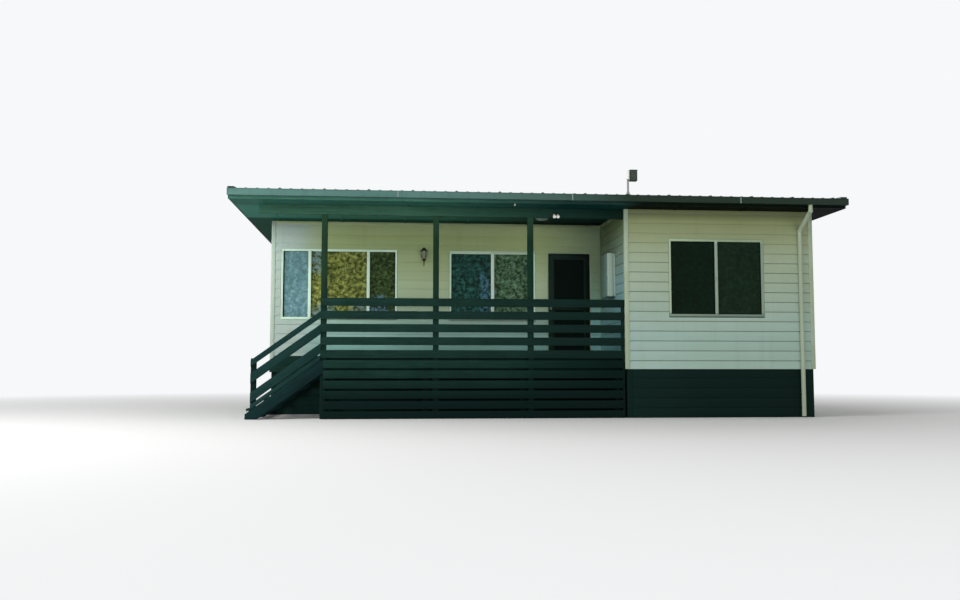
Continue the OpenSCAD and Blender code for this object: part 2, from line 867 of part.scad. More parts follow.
house_floor();
base_boards();
recess_base();
corner_stumps();
recess_wall();
wall_over_door();
wall_beside_door();
wing_side_wall();
wing_front_wall();
left_end_wall();
right_end_wall();
rear_wall();
corner_boards();
room_ceiling();
eaves_lining();
fascia_boards();
barge_boards();
roof_front();
roof_rear();
ridge_capping();
gutters();
downpipes();
veranda_beam();
veranda_posts();
deck_boards();
deck_joists();
deck_bearers();
deck_stumps();
balustrade_rails();
skirt_boards();
stair_stringers();
stair_treads();
stair_rails();
stair_newel();
wide_window();
veranda_window();
wing_window();
side_rear_windows();
window_glass();
door_frame();
door_sill();
door_hinges();
front_door();
door_screen();
door_handle();
meter_box();
coach_lantern();
ceiling_light();
flood_light();
service_mast();
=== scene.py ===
# The beach house in its finished dress: weatherboards, ribbed roof sheets, stained timber,
# windows, door and fittings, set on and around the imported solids. Metres; Y runs to the rear.
import math

import bmesh
import bpy
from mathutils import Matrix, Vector


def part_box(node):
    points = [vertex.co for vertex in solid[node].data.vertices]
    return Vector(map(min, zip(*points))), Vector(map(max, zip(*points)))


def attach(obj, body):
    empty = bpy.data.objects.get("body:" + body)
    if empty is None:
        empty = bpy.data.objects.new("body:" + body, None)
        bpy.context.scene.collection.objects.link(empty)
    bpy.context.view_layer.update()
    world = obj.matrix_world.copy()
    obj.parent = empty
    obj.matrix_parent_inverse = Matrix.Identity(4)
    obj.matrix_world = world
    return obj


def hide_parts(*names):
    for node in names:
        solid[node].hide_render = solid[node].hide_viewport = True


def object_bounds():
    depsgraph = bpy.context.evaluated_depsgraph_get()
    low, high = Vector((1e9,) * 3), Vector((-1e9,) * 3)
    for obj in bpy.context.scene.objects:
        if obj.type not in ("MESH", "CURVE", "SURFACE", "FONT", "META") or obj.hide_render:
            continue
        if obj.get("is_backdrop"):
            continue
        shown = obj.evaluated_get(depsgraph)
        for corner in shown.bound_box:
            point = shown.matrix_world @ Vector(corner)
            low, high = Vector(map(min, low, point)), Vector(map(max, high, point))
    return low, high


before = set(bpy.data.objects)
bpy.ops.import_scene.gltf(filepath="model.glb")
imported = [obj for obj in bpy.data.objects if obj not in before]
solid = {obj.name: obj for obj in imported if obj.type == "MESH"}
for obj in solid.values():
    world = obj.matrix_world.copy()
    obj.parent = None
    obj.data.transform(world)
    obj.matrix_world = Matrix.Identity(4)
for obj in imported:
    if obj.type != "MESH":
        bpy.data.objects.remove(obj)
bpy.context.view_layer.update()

# Floor and ceiling of the rooms.
# The floor is sealed narrow boards laid along the front, and the ceiling is painted sheet.
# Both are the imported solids; the board joints are drawn by the finish.


def plain(value):
    """A colour of three screen numbers as a shader takes it, and anything else as it is."""
    if not isinstance(value, tuple) or len(value) != 3:
        return value
    parts = [v / 255 for v in value]
    return *[v / 12.92 if v <= 0.04045 else ((v + 0.055) / 1.055) ** 2.4 for v in parts], 1.0


def node(tree, kind, inputs, out=0, **settings):
    """The wanted output of a new node, whose inputs are plain values or other nodes' outputs."""
    made = tree.nodes.new(kind)
    for name, value in settings.items():
        setattr(made, name, value)
    for name, value in inputs.items():
        if hasattr(value, "links"):
            tree.links.new(value, made.inputs[name])
        else:
            made.inputs[name].default_value = value
    return made.outputs[out]


def sums(tree, kind, first, second=0.0, third=0.0):
    """One sum of up to three values."""
    return node(tree, "ShaderNodeMath", {0: first, 1: second, 2: third}, operation=kind)


class Finish:
    """A finish worked out from the point on the piece, in metres.

    A colour of three numbers is as on a screen and covers what is under it; one of four numbers
    is a share of each part of the light and multiplies it.
    """

    def __init__(self, name, roughness=0.5, metallic=0.0, gloss=0.5, lean=0.0):
        self.material = bpy.data.materials.new(name)
        self.material.use_nodes = True
        self.tree = self.material.node_tree
        self.inputs = self.tree.nodes["Principled BSDF"].inputs
        self.inputs["Roughness"].default_value = roughness
        self.inputs["Metallic"].default_value = metallic
        self.inputs["Specular IOR Level"].default_value = gloss
        self.point = node(self.tree, "ShaderNodeTexCoord", {}, "Object")
        if lean:
            self.point = node(
                self.tree, "ShaderNodeMapping", {"Vector": self.point, "Rotation": (0, lean, 0)})
        self.axis = node(self.tree, "ShaderNodeSeparateXYZ", {0: self.point}).node.outputs

    def sums(self, kind, *values):
        return sums(self.tree, kind, *values)

    def speckle(self, scale, detail=4.0, rough=0.55, twist=0.0, point=None):
        """Soft random shading between 0 and 1; a scale of three numbers stretches it."""
        point = point or self.point
        if isinstance(scale, tuple):
            point = node(self.tree, "ShaderNodeMapping", {"Vector": point, "Scale": scale})
            scale = 1.0
        return node(self.tree, "ShaderNodeTexNoise", {
            "Vector": point, "Scale": scale, "Detail": detail, "Roughness": rough,
            "Distortion": twist}, "Fac")

    def tone_of(self, row):
        """A random tone for each whole number of a row."""
        return node(self.tree, "ShaderNodeTexWhiteNoise", {"W": self.sums("FLOOR", row)}, "Value",
                    noise_dimensions="1D")

    def between(self, value, low, high, out_low=0.0, out_high=1.0):
        """A value, or a place along an axis, taken from one range to another and held in it."""
        value = self.axis[value] if isinstance(value, str) else value
        return node(self.tree, "ShaderNodeMapRange", {
            "Value": value, "From Min": low, "From Max": high, "To Min": out_low,
            "To Max": out_high})

    def shade(self, base, *steps):
        """A colour changed in steps.

        Each step is a value, where the change starts and ends in it, the colour that it ends
        in, and how much of that colour is laid on.
        """
        for value, start, end, tint, *share in steps:
            multiplies = isinstance(tint, tuple) and len(tint) == 4
            laid_on = self.between(value, start, end, 0.0, *share)
            base = node(self.tree, "ShaderNodeMix", {0: laid_on, 6: plain(base), 7: plain(tint)},
                        2, data_type="RGBA", blend_type="MULTIPLY" if multiplies else "MIX")
        return base

    def paint(self, base, *steps):
        self.tree.links.new(self.shade(base, *steps), self.inputs["Base Color"])

    def rough(self, value, low, high, out_low, out_high):
        """Roughness that follows a value."""
        self.tree.links.new(
            self.between(value, low, high, out_low, out_high), self.inputs["Roughness"])

    def relief(self, height, depth):
        """Raises and sinks the finish by a height, depth metres deep."""
        bump = node(self.tree, "ShaderNodeBump", {"Height": height, "Distance": depth})
        self.tree.links.new(bump, self.inputs["Normal"])


def mottled(name, roughness, dark, light, scale, detail=3.0, span=(0, 1), **kinds):
    """A finish of two near tones in soft patches."""
    finish = Finish(name, roughness, **kinds)
    finish.paint(dark, (finish.speckle(scale, detail), *span, light))
    return finish


def coat(obj, finish):
    obj.data.materials.clear()
    obj.data.materials.append(finish.material)


floorboard_w, joint_share = 0.085, 0.03
floor = Finish("sealed_floorboards", 0.35)
row = floor.sums("DIVIDE", floor.axis["Y"], floorboard_w)
joint = floor.sums("LESS_THAN", floor.sums("FRACT", row), joint_share)
grain = floor.speckle((2.5, 60, 60), 6.0, 0.6, 0.4)
floor.paint(
    (139, 98, 58), (grain, 0.3, 0.7, (186, 142, 92)),
    (floor.tone_of(row), 0, 1, (120, 84, 52), 0.35), (joint, 0, 1, (48, 34, 22)))
floor.relief(grain, 0.0004)
coat(solid["house_floor"], floor)

plaster = mottled("painted_plaster", 0.8, (196, 197, 188), (210, 210, 202), 3.0, 5.0, (0.3, 0.7))
plaster.relief(plaster.speckle(180.0, 3.0), 0.0003)
coat(solid["room_ceiling"], plaster)

# Outer walls.
# Each is a framed wall lined with painted plaster; the solid is its lining and frame, and its
# weatherboards are nailed over the outside in a later section.
for wall in ("recess_wall", "wall_over_door", "wall_beside_door", "wing_side_wall",
             "wing_front_wall", "left_end_wall", "right_end_wall", "rear_wall"):
    coat(solid[wall], plaster)

# Base of the house: square hardwood stumps with dark stained boards nailed level between them.
# Each panel gets its own boards over the solid, 12 mm thick with open joints; the boards
# under the recessed wall end in a wider one that laps up over the cladding.
stair_rise, stair_going = 0.18, 0.25
grain_scales = {"x": (2.2, 55, 55), "y": (55, 2.2, 55), "z": (55, 55, 2.2), "stair": (2.2, 55, 55)}


def stain(name, along, dark, light, board=0.0, roughness=0.62, painted_shading=(), gloss=0.07):
    """Dark green stain on sawn timber, with the grain along an axis or down the stair.

    The shading steps paint light and shade over the grain and the boards' own tones.
    """
    lean = math.atan2(stair_rise, stair_going) if along == "stair" else 0.0
    finish = Finish(name, roughness, gloss=gloss, lean=lean)
    grain = finish.speckle(grain_scales[along], 7.0, 0.62, 0.7)
    steps = [(grain, 0.32, 0.68, light)]
    if board:
        tone = finish.tone_of(finish.sums("DIVIDE", finish.axis["Z"], board))
        steps.append((tone, 0, 1, tuple(c * 0.72 for c in dark), 0.22))
    steps.append((finish.speckle(2.3, 3.0), 0.45, 0.75, tuple(c * 1.2 for c in light), 0.3))
    # Without shading steps, the stain is painted darker towards +X: painted shade along the house.
    steps += painted_shading or [("X", -2.5, 2.8, tuple(c * 0.8 for c in dark))]
    finish.paint(dark, *steps)
    finish.rough(grain, 0.3, 0.7, roughness - 0.08, roughness + 0.12)
    finish.relief(grain, 0.0012)
    return finish


def take(*parts):
    """Selects these parts alone, with the first of them active."""
    bpy.ops.object.select_all(action="DESELECT")
    bpy.context.view_layer.objects.active = parts[0] if parts else None
    for part in parts:
        part.select_set(True)


def settle(obj):
    """Applies the piece's modifiers, and puts its place, turn and size into its mesh."""
    take(obj)
    for modifier in list(obj.modifiers):
        bpy.ops.object.modifier_apply(modifier=modifier.name)
    bpy.ops.object.transform_apply(location=True, rotation=True, scale=True)
    return obj


def put(obj, place=(0, 0, 0), turn=(0, 0, 0), scale=(1, 1, 1)):
    """Scales a piece, turns it by degrees about each axis and moves it to its place."""
    obj.scale = scale
    obj.rotation_euler = [math.radians(degrees) for degrees in turn]
    obj.location = place
    return settle(obj)


def primitive(kind, place=(0, 0, 0), turn=(0, 0, 0), scale=(1, 1, 1), **sizes):
    """A primitive form to start a piece from, in its place."""
    take()
    getattr(bpy.ops.mesh, f"primitive_{kind}_add")(**sizes)
    return put(bpy.context.object, place, turn, scale)


def smooth(obj, degrees):
    take(obj)
    bpy.ops.object.shade_smooth_by_angle(angle=math.radians(degrees))
    return obj


def ease(obj, width, segments=2, degrees=30):
    """Rounds a piece's edges where they turn by more than an angle."""
    bevel = obj.modifiers.new("ease", "BEVEL")
    bevel.width = width
    bevel.segments = segments
    bevel.limit_method = "ANGLE"
    bevel.angle_limit = math.radians(degrees)
    return settle(obj)


def plank(name, low, high, arris=0.002, segments=2):
    """A sawn board between two corners, with its edges eased."""
    middle = [(a + b) / 2 for a, b in zip(low, high)]
    obj = primitive("cube", middle, scale=[b - a for a, b in zip(low, high)], size=1)
    obj.name = name
    return smooth(ease(obj, arris, segments), 40) if arris else obj


def row_of(obj, count, step):
    """Copies of a piece in a row, each step further on, in one mesh."""
    array = obj.modifiers.new("row", "ARRAY")
    array.use_relative_offset = False
    array.use_constant_offset = True
    array.constant_offset_displace = step
    array.count = count
    return settle(obj)


def together(name, parts):
    """Several parts joined into one piece."""
    take(*parts)
    if len(parts) > 1:
        bpy.ops.object.join()
    parts[0].name = name
    parts[0].data.name = name
    return parts[0]


def fix(obj, finish, stands_for=(), body="house"):
    """Gives a piece its finish and fixes it to the part of the house that it moves with."""
    coat(obj, finish)
    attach(obj, body)
    if stands_for:
        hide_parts(*stands_for)
    return obj


board_pitch = 0.175
# Painted shade on these stains: all darken towards +X; the posts get a painted highlight at their
# heads, painted bluish skylight below the rail tops and painted shade at their feet.
dark_level = stain("dark_stain_level", "x", (12, 34, 29), (25, 50, 43), board_pitch)
dark_cross = stain("dark_stain_cross", "y", (12, 36, 30), (26, 52, 44), board_pitch)
dark_upright = stain("dark_stain_upright", "z", (17, 38, 25), (30, 51, 35),
                     painted_shading=[("X", -3.4, -0.6, (16, 40, 29)), ("Z", 3.1, 3.5, (38, 66, 48)),
                             ("Z", 2.4, 2.0, (16, 40, 34)), ("Z", 1.1, 0.9, (11, 30, 25))])
dark_stair = stain("dark_stain_stair", "stair", (12, 36, 35), (26, 52, 49))
# The stringers take a darker copy of the stair stain, as painted shade.
stringer_shaded_stain = stain("dark_stain_string", "stair", (8, 27, 28), (19, 41, 41))
coat(solid["corner_stumps"], dark_upright)
coat(solid["base_boards"], dark_level)
coat(solid["recess_base"], dark_level)

left_x, right_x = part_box("left_end_wall")[0].x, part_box("right_end_wall")[1].x
front_y, rear_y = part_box("wing_front_wall")[0].y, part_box("rear_wall")[1].y
recess_y, floor_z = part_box("recess_wall")[0].yz
wing_x, clad_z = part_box("wing_side_wall")[0].xz
ceiling_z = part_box("recess_wall")[1].z
deck_low, deck_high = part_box("deck_boards")
stump, inset, board_t, open_joint = 0.1, 0.015, 0.012, 0.006
run_in = inset + stump
last_strip = 0.02


def base_run(low, high, top):
    """Level base boards between two corners of a panel's face in plan, bottom board first."""
    boards = []
    level = 0.0
    while level < top - last_strip:
        reach = min(level + board_pitch - open_joint, top)
        boards.append(plank("base", (*low, level), (*high, reach)))
        level += board_pitch
    return boards


panels_along = [
    ((wing_x + run_in, front_y + inset - board_t), (right_x - run_in, front_y + inset)),
    ((left_x + run_in, rear_y - inset), (right_x - run_in, rear_y - inset + board_t))]
panels_across = [
    ((right_x - inset, front_y + run_in), (right_x - inset + board_t, rear_y - run_in)),
    ((left_x + inset - board_t, recess_y + run_in), (left_x + inset, rear_y - run_in)),
    ((wing_x + inset - board_t, front_y + run_in), (wing_x + inset, recess_y - 0.001))]
for name, panels, finish in (("base_boarding_long", panels_along, dark_level),
                             ("base_boarding_ends", panels_across, dark_cross)):
    boards = [board for low, high in panels for board in base_run(low, high, clad_z)]
    fix(together(name, boards), finish)
run_top, apron_foot, lap_foot, lap_top = 0.94, 0.8, 0.93, 1.111
recess_boards = base_run(
    (left_x + run_in, recess_y + inset - board_t), (wing_x, recess_y + inset), run_top)
board_end = deck_low.x - 0.005
recess_boards.append(plank("lap", (left_x + 0.06, recess_y - 0.02, lap_foot),
                           (board_end, recess_y + 0.002, lap_top), 0.003))
recess_boards.append(plank("lap", (left_x - 0.02, recess_y - 0.0215, apron_foot),
                           (board_end, recess_y - 0.001, lap_foot - 0.002), 0.003))
fix(together("base_boarding_recess", recess_boards), dark_level)

# Weatherboards: painted pine boards lapped at 175 mm, each 15 mm proud at its foot and 4 mm at
# its head. One board is shaped, laid up the wall in a row and cut to the eaves, the corners and
# the openings; every wall is made facing the front and then turned to its side of the house.
foot_proud, head_proud = 0.015, 0.004
lap_z = clad_z - 0.022

clad = Finish("cream_weatherboard_paint", 0.5)
x, y, z = clad.axis
level = clad.sums("DIVIDE", clad.sums("SUBTRACT", z, lap_z), board_pitch)
along = clad.sums("MULTIPLY", clad.sums("ADD", x, y), 1.6)
fibre = node(clad.tree, "ShaderNodeCombineXYZ", {"X": along, "Y": clad.sums("MULTIPLY", z, 70)})
patch = clad.speckle(0.9, 3.0)
# Painted light and shade on the wall faces: the open walls darken towards the eaves, the wing's
# side wall is bluish and lighter low down, and the recessed wall has its own painted bands, lighter
# at its left end and beside the door.
open_wall_painted_light = clad.shade(
    (143, 167, 158), ("Z", 1.5, 2.4, (146, 162, 143)), ("Z", 2.4, 3.2, (143, 156, 128)),
    ("Z", 2.8, 3.6, (124, 132, 86)), ("Z", 3.5, 3.62, (100, 109, 73)))
side_wall_painted_light = clad.shade(
    (102, 154, 160), ("Z", 1.5, 2.4, (117, 152, 154)), ("Z", 2.4, 2.8, (113, 138, 130)),
    ("Z", 2.8, 3.5, (112, 128, 90)))
by_door_painted_light = clad.shade(
    (133, 189, 189), ("Z", 1.95, 2.4, (124, 156, 133)), ("Z", 2.5, 2.8, (124, 146, 119)))
recess_painted_light = clad.shade(
    (121, 167, 160), ("Z", 1.25, 1.45, (145, 184, 178)), ("Z", 1.6, 2.1, (163, 183, 154)),
    ("Z", 2.1, 2.5, (168, 187, 150)), ("Z", 2.5, 2.95, (153, 170, 123)),
    ("Z", 3.0, 3.4, (147, 163, 110)), ("Z", 3.45, 3.6, (166, 182, 132)),
    ("X", -3.9, -4.5, (163, 181, 174)), ("X", -0.8, -0.2, (1.14, 1.12, 1.14, 1)),
    ("X", 0.2, 1.3, by_door_painted_light, 0.85))
# These masks pick the wing's side wall and the recessed wall for their own painted light.
in_side = clad.sums("COMPARE", x, wing_x, 0.03)
in_recess = clad.sums("COMPARE", y, recess_y, 0.03)
# A painted shadow under each lap: a darker band at the head of each board, faint near the eaves and
# in the recess.
painted_lap_shadow = clad.between(clad.sums("FRACT", level), 0.9, 0.955)
lap_shadow_share = clad.sums(
    "MULTIPLY", clad.between(z, 3.35, 2.5, 0.12, 0.9), clad.between(in_recess, 0, 1, 1, 0.1))
clad.paint(
    open_wall_painted_light, (in_side, 0, 1, side_wall_painted_light), (in_recess, 0, 1, recess_painted_light),
    (patch, 0.35, 0.65, (0.95, 0.94, 0.9, 1)), (clad.tone_of(level), 0, 1, (0.97, 0.98, 0.98, 1)),
    (clad.speckle((7, 7, 0.35), 3.0), 0.55, 0.8, (0.93, 0.92, 0.87, 1)),
    (clad.sums("MULTIPLY", painted_lap_shadow, lap_shadow_share), 0, 1, (86, 100, 82)))
clad.rough(patch, 0.3, 0.7, 0.42, 0.58)
clad.relief(clad.speckle(1.0, 5.0, 0.6, 0.3, fibre), 0.0005)


def shape(obj, kind, test, change):
    """Picks an object's faces or edges by a test of middle and direction, and changes them."""
    take(obj)
    bpy.ops.object.mode_set(mode="EDIT")
    bpy.ops.mesh.select_mode(type=kind)
    bpy.ops.mesh.select_all(action="DESELECT")
    form = bmesh.from_edit_mesh(obj.data)
    for part in form.faces if kind == "FACE" else form.edges:
        spots = [vert.co for vert in part.verts]
        way = part.normal if kind == "FACE" else (spots[1] - spots[0]).normalized()
        part.select_set(bool(test(sum(spots, Vector()) / len(spots), way)))
    form.select_flush_mode()
    bmesh.update_edit_mesh(obj.data)
    change()
    bpy.ops.object.mode_set(mode="OBJECT")
    return obj


def shift(x=0.0, y=0.0, z=0.0):
    return lambda: bpy.ops.transform.translate(value=(x, y, z))


def work(obj, *steps):
    """Takes edit mode steps on a piece, each with all of its mesh selected."""
    take(obj)
    bpy.ops.object.mode_set(mode="EDIT")
    bpy.ops.mesh.select_mode(type="VERT")
    for step in steps:
        bpy.ops.mesh.select_all(action="SELECT")
        step()
    bpy.ops.object.mode_set(mode="OBJECT")
    return obj


def sliced(obj, normal, places, **cut):
    """Cuts across a piece square to a direction, at each of its places."""
    return work(obj, *[lambda place=place: bpy.ops.mesh.bisect(
        plane_co=Vector(normal) * place, plane_no=normal, **cut) for place in places])


def cut_out(obj, low, high):
    """Cuts a box-shaped opening out of a piece."""
    tool = plank("cutter", low, high, 0)
    cut = obj.modifiers.new("opening", "BOOLEAN")
    cut.operation = "DIFFERENCE"
    cut.solver = "EXACT"
    cut.object = tool
    settle(obj)
    bpy.data.objects.remove(tool)


def weatherboards(name, start, end, foot, holes):
    """The boards of one wall whose face is at Y = 0 and looks to -Y."""
    board = plank(name, (start, -foot_proud, lap_z), (end, 0.0, lap_z + board_pitch - 0.001), 0)
    shape(board, "EDGE", lambda m, d: m.z > lap_z + 0.1 and m.y < -0.01 and abs(d.x) > 0.9,
          shift(y=foot_proud - head_proud))
    shape(board, "EDGE", lambda m, d: m.z < lap_z + 0.01 and m.y < -0.01 and abs(d.x) > 0.9,
          lambda: bpy.ops.mesh.bevel(offset=0.003, segments=2))
    row_of(board, math.ceil((ceiling_z - lap_z) / board_pitch), (0, 0, board_pitch))
    sliced(board, (0, 0, 1), [ceiling_z - 0.0005], use_fill=True, clear_outer=True)
    sliced(board, (0, 0, 1), [foot], use_fill=True, clear_inner=True)
    for x0, x1, z0, z1 in holes:
        cut_out(board, (x0, -0.05, z0), (x1, 0.05, z1))
    return smooth(board, 25)


reveal, sill_gap, end_in = 0.007, 0.03, 0.0605
wide_low, wide_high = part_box("wide_window")
veranda_low, veranda_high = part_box("veranda_window")
wing_low, wing_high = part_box("wing_window")
frame_low, frame_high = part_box("door_frame")
sill_z, head_z = wing_low.z, wing_high.z
slider_w, wide_w = veranda_high.x - veranda_low.x, wide_high.x - wide_low.x
wide_ease, wide_lift = 0.016, 0.015
window_shares = (0.22, 0.66)
left_window_ys = [recess_y + share * (rear_y - recess_y) - slider_w / 2 for share in window_shares]
right_window_ys = [front_y + share * (rear_y - front_y) - slider_w / 2 for share in window_shares]
rear_wide_x = -wide_w / 2
rear_slider_xs = [left_x + 0.9, right_x - 0.9 - slider_w]


def window_gap(x, width, below=sill_gap):
    """The hole that a window needs in the boards: its left, right, bottom and top."""
    return (x - reveal, x + width + reveal, sill_z - below, head_z + reveal)


# Each wall's boards: left and right end, foot, holes, and the wall's turn and place
walls = {
    "recess": (left_x + end_in, wing_x - 0.002, floor_z, [
        window_gap(wide_low.x - wide_ease, wide_w + wide_ease, reveal - wide_lift),
        window_gap(veranda_low.x, slider_w, reveal),
        (frame_low.x, frame_high.x, 1.0, frame_high.z)], 0, (0, recess_y, 0)),
    "wing_side": (-recess_y + foot_proud + 0.001, -front_y - end_in, clad_z, [], -90,
                  (wing_x, 0, 0)),
    "wing_front": (wing_x + end_in, right_x - end_in, clad_z, [
        (wing_low.x + 0.005, wing_high.x + 0.019, sill_z - sill_gap, head_z + 0.021)],
        0, (0, front_y, 0)),
    "right_end": (front_y + end_in, rear_y - end_in, clad_z,
                  [window_gap(y, slider_w) for y in right_window_ys], 90, (right_x, 0, 0)),
    "rear": (left_x + end_in, right_x - end_in, clad_z, [
        window_gap(-x - w, w) for x, w in [(rear_wide_x, wide_w)]
        + [(x, slider_w) for x in rear_slider_xs]], 180, (0, rear_y, 0)),
    "left_end": (-rear_y + end_in, -recess_y - end_in, clad_z,
                 [window_gap(-y - slider_w, slider_w) for y in left_window_ys], -90,
                 (left_x, 0, 0)),
}
for wall, (start, end, foot, holes, turn, place) in walls.items():
    boards = weatherboards("cladding_" + wall, start, end, foot, holes)
    fix(put(boards, place, (0, 0, turn)), clad)

# Corner boards and the bead in the veranda's inner corner: dressed pine, 18 mm, painted.
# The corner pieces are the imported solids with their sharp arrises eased, and a small cornice
# covers the joint of the recess's walls and the lining.


def set_down(name, data):
    """A new object in the scene."""
    obj = bpy.data.objects.new(name, data)
    bpy.context.scene.collection.objects.link(obj)
    return obj


def eased(node_name, name, width, finish, body="house", segments=2,
          degrees=30):
    """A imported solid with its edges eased, standing for that solid."""
    obj = set_down(name, solid[node_name].data.copy())
    work(obj, lambda: bpy.ops.mesh.remove_doubles(threshold=0.0001),
         lambda: bpy.ops.mesh.dissolve_limited(angle_limit=math.radians(1)))
    smooth(ease(obj, width, segments, degrees), 35)
    return fix(obj, finish, [node_name], body)


trim = Finish("cream_trim_paint", 0.45)
streak = trim.speckle((30, 30, 1.2))
# The leftmost corner boards are painted lighter and bluish, as painted light from the open sky at
# that end.
trim.paint(
    (141, 155, 128), (trim.speckle(1.7), 0.35, 0.65, (149, 165, 143)),
    (streak, 0.55, 0.8, (126, 138, 114), 0.3), ("X", -4.5, -4.9, (164, 181, 166)))
trim.relief(streak, 0.0004)
eased("corner_boards", "corner_trim", 0.003, trim)

bead_coat = Finish("inner_corner_painted_shade", 0.5)
# The inner corner bead is painted darker, and darker still towards its top, as painted shade in the
# corner.
bead_coat.paint(
    (122, 146, 120), ("Z", 2.1, 2.5, (106, 130, 102)), ("Z", 2.8, 3.2, (100, 116, 86)),
    (bead_coat.speckle((30, 30, 1.2)), 0.4, 0.8, (0.78, 0.77, 0.7, 1)))
bead_w = 0.034
bead = plank(
    "inner_corner_bead", (wing_x - bead_w, recess_y - bead_w, floor_z + 0.002),
    (wing_x - 0.001, recess_y - 0.001, ceiling_z - 0.001), 0.006, 3)
fix(bead, bead_coat)
cornice_z0, cornice_z1 = ceiling_z - 0.05, ceiling_z - 0.0008
cornice = [plank("scotia", (left_x + end_in, recess_y - bead_w, cornice_z0),
                 (wing_x - 0.02, recess_y - 0.005, cornice_z1), 0.008, 3),
           plank("scotia", (wing_x - bead_w, front_y + 0.14, cornice_z0),
                 (wing_x - 0.005, recess_y - 0.02, cornice_z1), 0.008, 3)]
cornice_paint = Finish("cornice_paint", 0.5)
# The cornice is painted darker towards the wing, as painted shade.
cornice_paint.paint(
    (158, 172, 128), (cornice_paint.speckle(1.7), 0.35, 0.65, (166, 182, 138)),
    ("X", 0.0, 1.2, (134, 150, 116)))
fix(together("veranda_cornice", cornice), cornice_paint)

# Windows: powder-coated aluminium sliding windows, pale cream, with float glass.
# A frame lines the opening and stands 15 mm out; in it each sash is a thin ring round its pane,
# and a meeting stile covers the joint of two sashes. Each has a sill and a head flashing.


def sheet(width, depth, place, turn=(0, 0, 0)):
    """A flat sheet, as wide along X and as deep along Y as asked, at its place and turn."""
    return primitive("plane", place, turn, (width, depth, 1), size=1)


def face_out():
    bpy.ops.mesh.normals_make_consistent(inside=False)


def drawn(*way):
    """Draws new faces out of what is selected."""
    bpy.ops.mesh.extrude_region_move(TRANSFORM_OT_translate={"value": way})


def ring(x0, x1, z0, z1, front, back, member, arris=0.0015):
    """A rectangular frame member set round an opening, inset and drawn back."""
    def cut_middle():
        bpy.ops.mesh.inset(thickness=member)
        bpy.ops.mesh.delete(type="FACE")

    obj = sheet(x1 - x0, z1 - z0, ((x0 + x1) / 2, front, (z0 + z1) / 2), (90, 0, 0))
    work(obj, cut_middle, lambda: drawn(0, back - front, 0), face_out)
    return ease(obj, arris)


outer, pane_in, pane_y = 0.016, 0.036, 0.03


def window_unit(x, width, bars, bottom, top, stile=0.062, lean=0.0, fillers=()):
    """One window in a wall that faces -Y at Y = 0; bars are measured from its left edge.

    The stiles lean off their bars to the right, and the fillers widen the frame where it is
    wider: each is its left, right, bottom and top.
    """
    parts = [ring(x, x + width, bottom, top, -0.015, 0.075, outer)]
    edges = [outer, *bars, width - outer]
    for number, (a, b) in enumerate(zip(edges, edges[1:])):
        front = 0.001 if number % 2 else -0.008
        parts.append(
            ring(x + a, x + b, bottom + outer, top - outer, front, 0.05, pane_in - outer, 0.001))
    for bar in bars:
        stile_x = x + bar + lean - stile / 2
        parts.append(plank(
            "stile", (stile_x, -0.012, bottom + outer), (stile_x + stile, 0.054, top - outer)))
        parts.append(plank("catch", (stile_x + 0.002, -0.02, sill_z + 0.62),
                           (stile_x + 0.018, -0.01, sill_z + 0.7)))
    for x0, x1, z0, z1 in fillers:
        parts.append(plank("filler", (x0, -0.009, z0), (x1, 0.0295, z1), 0.001))
    sill = plank(
        "sill", (x - 0.006, -0.026, bottom - 0.01), (x + width + 0.006, 0.0, bottom - 0.001))
    shape(sill, "EDGE", lambda m, d: m.y < -0.022 and m.z > bottom - 0.005 and abs(d.x) > 0.9,
          shift(z=-0.003))
    flashing = plank("flashing", (x - 0.014, -0.024, top + 0.002),
                     (x + width + 0.014, 0.0, top + 0.005), 0.0008, 1)
    return together("window", parts + [sill, flashing])


powder = Finish("window_powder_coat", 0.38)
patch = powder.speckle(6.0)
# Painted shade on the frames: the wing window's frame is darker, and the frames are darker at their
# foot under the sashes and at the head under the flashing.
wing_frame_painted_shade = powder.shade((160, 177, 150), ("X", 2.4, 3.0, (128, 146, 128)))
foot_shade = powder.sums(
    "MULTIPLY", powder.between("Z", sill_z + 0.054, sill_z + 0.05, 0, 0.8),
    powder.between("X", -4.3, -4.0))
head_shade = powder.sums(
    "MULTIPLY", powder.between("Z", head_z - 0.06, head_z - 0.04),
    powder.between("X", -2.6, -2.4, 0.0, 0.5))
powder.paint(
    (192, 219, 198), (patch, 0.3, 0.7, (202, 228, 208)), ("Y", -2.2, -3.2, wing_frame_painted_shade),
    (foot_shade, 0, 1, (97, 118, 104)), (head_shade, 0, 1, (156, 178, 140)))
powder.rough(patch, 0.3, 0.7, 0.32, 0.44)
powder.relief(powder.speckle(900.0, 2.0), 0.0001)

wide_bars = [0.527, wide_w - 0.553]
wing_w, wing_lean = wing_high.x - wing_low.x, 0.012
head_filler = (veranda_low.x + outer, veranda_high.x - outer, head_z - 0.056, head_z - 0.03)
# Each window's left edge in its own wall, width, bars, bottom and top, then its own members,
# and the wall's turn and place
front_units = {
    "wide_window": (wide_low.x - wide_ease, wide_w + wide_ease,
                    [bar + wide_ease for bar in wide_bars], sill_z + wide_lift, head_z,
                    {"stile": 0.056, "lean": -0.003}, 0, (0, recess_y, 0)),
    "veranda_window": (veranda_low.x, slider_w, [slider_w / 2], sill_z, head_z,
                       {"fillers": [head_filler]}, 0, (0, recess_y, 0)),
    "wing_window": (wing_low.x + wing_lean, wing_w, [wing_w / 2], sill_z - 0.006,
                    head_z + 0.014, {"stile": 0.048}, 0, (0, front_y, 0)),
}
slider = (slider_w, [slider_w / 2], sill_z, head_z, {})
other_units = [(y, *slider, 90, (right_x, 0, 0)) for y in right_window_ys]
other_units += [(-y - slider_w, *slider, -90, (left_x, 0, 0)) for y in left_window_ys]
other_units += [(-x - slider_w, *slider, 180, (0, rear_y, 0)) for x in rear_slider_xs]
